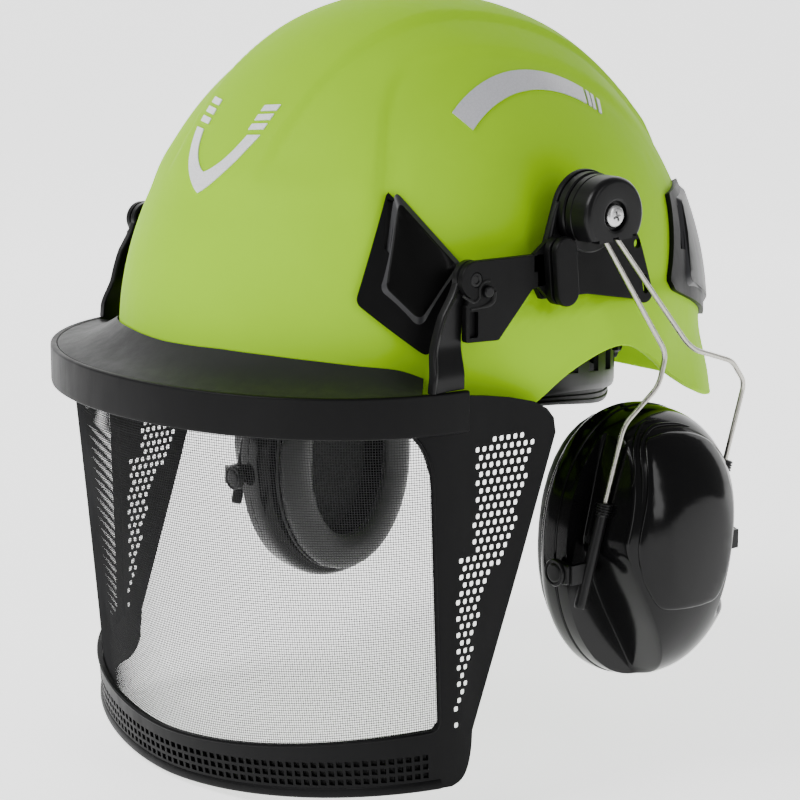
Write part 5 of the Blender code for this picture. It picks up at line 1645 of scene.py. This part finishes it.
def suspension_clip(name, angle):
    """Tongue on the headband's outside that widens above into a slotted block against the shell."""
    low = band_low(angle) + BAND_HIGH - 9.0
    stations = [angle + da for da in spread(8, 10)]
    outer, inner = [], []
    for z, near in ((56.0, 0.45), (52.0, 0.25), (48.0, 0.05), (46.0, 0.0)):
        outer.append([clip_point(a, z, 1.0) for a in stations])
        inner.append([clip_point(a, z, near) for a in stations])
    for z in (44.0, (44.0 + low) / 2, low):
        outer.append([ring_point(a, z, FACE_OUT + 2.6) for a in stations])
        inner.append([ring_point(a, z, FACE_OUT) for a in stations])
    clip = walled(outer, inner, f"strap_clip_{name}", BLACK, "helmet", 30, [f"suspension_clip_{name}"],
                  hole=lambda i, j: i == 1 and 2 <= j <= 7)
    soften(clip, 0.6, 2)


# section of the webbing with its raised edges: (share of the width, share of the thickness)
WEBBING_SECTION = ((-0.5, 0.25), (-0.47, -0.1), (-0.43, -0.1), (-0.4, 0.1), (0.4, 0.1), (0.43, -0.1),
                   (0.47, -0.1), (0.5, 0.25), (0.5, 0.75), (0.46, 1.0), (-0.46, 1.0), (-0.5, 0.75))


def crown_strap(name, first, second, apex):
    """Webbing over the crown with raised selvedges and two rows of stitches near each end."""
    steps, width, thickness = 72, 19.0, 1.4
    start, stop = (clip_point(CLIP_ANGLES[end], 56.35, 0.7) for end in (first, second))
    flat = (stop - start).normalized()
    aside = (stop - start).cross(Vector((0, 0, 1))).normalized()
    rings = []
    stitches = Shape()
    for i in range(steps + 1):
        a = math.pi * i / steps
        p = start.lerp(stop, 0.5 - 0.5 * signed_power(math.cos(a), 0.8))
        p.z += (apex - start.z) * math.sin(a) ** 0.8
        inward = (flat * math.cos(a) + Vector((0, 0, -1)) * (0.6 + 0.6 * math.sin(a))).normalized()
        if i in (0, steps):
            inward = flat * (1 if i == 0 else -1)
        rings.append([p + aside * width * k + inward * thickness * level for k, level in WEBBING_SECTION])
        if i in (5, 7, steps - 7, steps - 5):
            for share in spread(0.4, 8):
                at = p + aside * width * share + inward * thickness * 0.95
                stitches.loft(tube([at - aside * 0.7, at + inward * 0.18, at + aside * 0.7], 0.22, 6))
    lofted(rings, f"crown_webbing_{name}", WEBBING, "helmet", 50, [f"crown_strap_{name}"])
    stitches.object(f"webbing_stitches_{name}", LIP_GREY, "helmet", 60, slot="webbing")


def ratchet():
    """Housing with rounded shoulders behind the headband, and a grip knob with finger flutes."""
    depth = 9.0
    outer, inner = [], []
    angles = [163 + 34 * k / 28 for k in range(29)]
    for z, tuck in ((5.5, 1.6), (5.9, 0.6), (7.0, 0.0), (16.5, 0.0), (26.0, 0.0), (27.1, 0.6), (27.5, 1.6)):
        rise = [0.45 + 0.55 * smooth_step(0, 4, min(a - 163, 197 - a)) for a in angles]
        outer.append([ring_point(a, z, FACE_OUT + depth * share - tuck) for a, share in zip(angles, rise)])
        inner.append([ring_point(a, z, FACE_OUT) for a in angles])
    walled(outer, inner, "ratchet_case", BLACK_SATIN, "helmet", 30, ["ratchet_housing"])
    knob_y = ring_point(180, 0, FACE_OUT + depth + 0.35).y
    profile = [(0, 12.6), (0.6, 13.4, 0.2), (1.5, 13.9, 1.0), (8.5, 13.9, 1.0), (9.4, 13.4, 0.6),
               (9.9, 12.4, 0.2), (10.0, 10.6), (9.2, 9.8), (9.0, 6.0), (9.4, 4.6), (9.6, 2.0)]
    grip = turned((0, knob_y, 16.5), (0, 1, 0), profile, 180, lambda a: 0.55 * math.cos(a * 18))
    lofted(grip, "ratchet_grip", BLACK, "knob", 40, ["ratchet_knob"])


def nape_strap():
    """Curved cradle with long ribs along it, hinged below the headband at its two forward ends."""
    rib_levels = (0.18, 0.24, 0.46, 0.52, 0.74, 0.8)
    outer, inner = [], []
    for level in (0.0, 0.06, 0.18, 0.24, 0.3, 0.46, 0.52, 0.58, 0.74, 0.8, 0.86, 0.96, 1.0):
        lift = (0.5 if level in rib_levels else 0.0) - (0.5 if level in (0.0, 1.0) else 0.0)
        row_out, row_in = [], []
        for j in range(133):
            angle = 84 + 192 * j / 132
            dip = smooth_step(92, 40, abs(angle - 180))
            z = 14.0 - 6.0 * dip - (6.0 + 3.0 * dip) * (1 - level)
            ends = 1 - smooth_step(0, 4, min(angle - 84, 276 - angle))
            row_out.append(ring_point(angle, z, -1.1 + lift - 0.3 * ends))
            row_in.append(ring_point(angle, z, -3.0))
        outer.append(row_out)
        inner.append(row_in)
    walled(outer, inner, "nape_cradle", BLACK, "nape", 30, ["nape_strap"])


def brow_pad():
    """Cloth-covered sweat pad inside the front of the headband."""
    rings = []
    for angle in spread(60.5, 40):
        end = math.sqrt(max(0.0, 1 - (abs(angle) / 61.5) ** 8))
        deep, high = 2.1 * (0.35 + 0.65 * end), 10.6 * (0.55 + 0.45 * end)
        ring = []
        for j in range(20):
            a = 2 * math.pi * j / 20
            z = band_low(angle) + BAND_HIGH / 2 + high * signed_power(math.sin(a), 0.6)
            ring.append(ring_point(angle, z, -3.3 + deep * signed_power(math.cos(a), 0.7)))
        rings.append(ring)
    pad = lofted(rings, "sweat_pad", PAD_CLOTH, "helmet", 80, ["brow_pad"])
    puffed(pad, 2.6, 2.0, 0.9)


# ---------------------------------------------------------------- stage
VIEW_AZIMUTH, VIEW_ELEVATION, VIEW_DISTANCE = 50.0, 11.72, 1.204
FLOOR_Z = -0.1425
FLOOR_FRONT, FLOOR_BEND, BEND_RADIUS, FLOOR_TOP, FLOOR_HALF = -2.2, 1.3, 0.7, 2.4, 3.2       # metres


def direction(azimuth, elevation):
    a, e = math.radians(azimuth), math.radians(elevation)
    return Vector((math.sin(a) * math.cos(e), -math.cos(a) * math.cos(e), math.sin(e)))


def add(name, data):
    obj = bpy.data.objects.new(name, data)
    bpy.context.scene.collection.objects.link(obj)
    return obj


def light(name, azimuth, elevation, distance, size, power):
    """Soft rectangular lamp aimed at the helmet."""
    lamp = bpy.data.lights.new(name, "AREA")
    lamp.shape = "RECTANGLE"
    lamp.size, lamp.size_y = size
    lamp.energy = power
    obj = add(name, lamp)
    obj.location = direction(azimuth, elevation) * distance
    obj.rotation_euler = (obj.location - Vector((0, 0, 0.02))).to_track_quat("Z", "Y").to_euler()


def studio_floor():
    """Pale floor that bends up into a wall behind the helmet."""
    bm = bmesh.new()
    profile = [(FLOOR_FRONT, FLOOR_Z), (FLOOR_BEND, FLOOR_Z)]
    for i in range(1, 13):
        a = math.pi / 2 * i / 12
        profile.append((FLOOR_BEND + BEND_RADIUS * math.sin(a), FLOOR_Z + BEND_RADIUS * (1 - math.cos(a))))
    profile.append((FLOOR_BEND + BEND_RADIUS, FLOOR_TOP))
    turn = Matrix.Rotation(math.radians(VIEW_AZIMUTH), 3, "Z")
    rows = [[bm.verts.new(turn @ Vector((x, y, z))) for x in (-FLOOR_HALF, FLOOR_HALF)] for y, z in profile]
    for a, b in zip(rows, rows[1:]):
        bm.faces.new((a[0], a[1], b[1], b[0]))
    mesh = bpy.data.meshes.new("studio_floor")
    bm.to_mesh(mesh)
    bm.free()
    mesh.shade_smooth()
    white = (1.0, 1.0, 1.0, 1.0)
    mesh.materials.append(principled("studio_white", (0.92, 0.92, 0.92), 0.65, Emission_Color=white,
                                     Emission_Strength=1.5))
    add("studio_floor", mesh)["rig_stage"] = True


def studio():
    studio_floor()
    world = bpy.data.worlds.new("studio")
    world.use_nodes = True
    bpy.context.scene.world = world
    background = world.node_tree.nodes["Background"]
    background.inputs["Color"].default_value = (1.0, 1.0, 1.0, 1.0)
    background.inputs["Strength"].default_value = 0.3
    light("key", -14, 46, 1.5, (0.7, 0.7), 18.0)
    light("side_strip", 96, 22, 1.3, (0.22, 0.9), 3.5)
    light("front_strip", 14, 8, 1.5, (0.2, 0.8), 2.5)
    camera = bpy.data.cameras.new("camera")
    camera.sensor_width = 36.0
    camera.lens = 126.2
    camera.clip_start = 0.01
    obj = add("camera", camera)
    obj.location = direction(VIEW_AZIMUTH, VIEW_ELEVATION) * VIEW_DISTANCE
    obj.rotation_euler = (math.pi / 2 - math.radians(VIEW_ELEVATION), 0, math.radians(VIEW_AZIMUTH))
    bpy.context.scene.camera = obj


SOFT_PIECES = ("ear_cushion", "cushion_welt", "ear_foam", "sweat_pad", "crown_webbing", "visor_weave")


def main():
    shell_moulding()
    vents()
    reflectors()
    for side, label in SIDES:
        slot_adapter(side, label)
        ear_bracket(side, label)
        visor_bracket(side, label)
        hinge_pin(side, label)
        visor_arm(side, label)
        drum(side, label)
        ear_wire(side, label)
        yoke(side, label, "front", FRONT_LEG, -24.5, -1)
        yoke(side, label, "rear", REAR_LEG, -16.5, 1)
        cup_shell(side, label)
        cup_cover(side, label)
        cup_ring(side, label)
        cup_cushion(side, label)
        cup_foam(side, label)
    brow_band()
    brow_flap()
    visor_surround()
    visor_gauze()
    harness()
    nape_strap()
    brow_pad()
    even_shading(SOFT_PIECES)
    studio()


main()
new_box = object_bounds()
boxes = {"cad": cad_box, "built": new_box}
{name: [list(map(float, p)) for p in box] for name, box in boxes.items()}
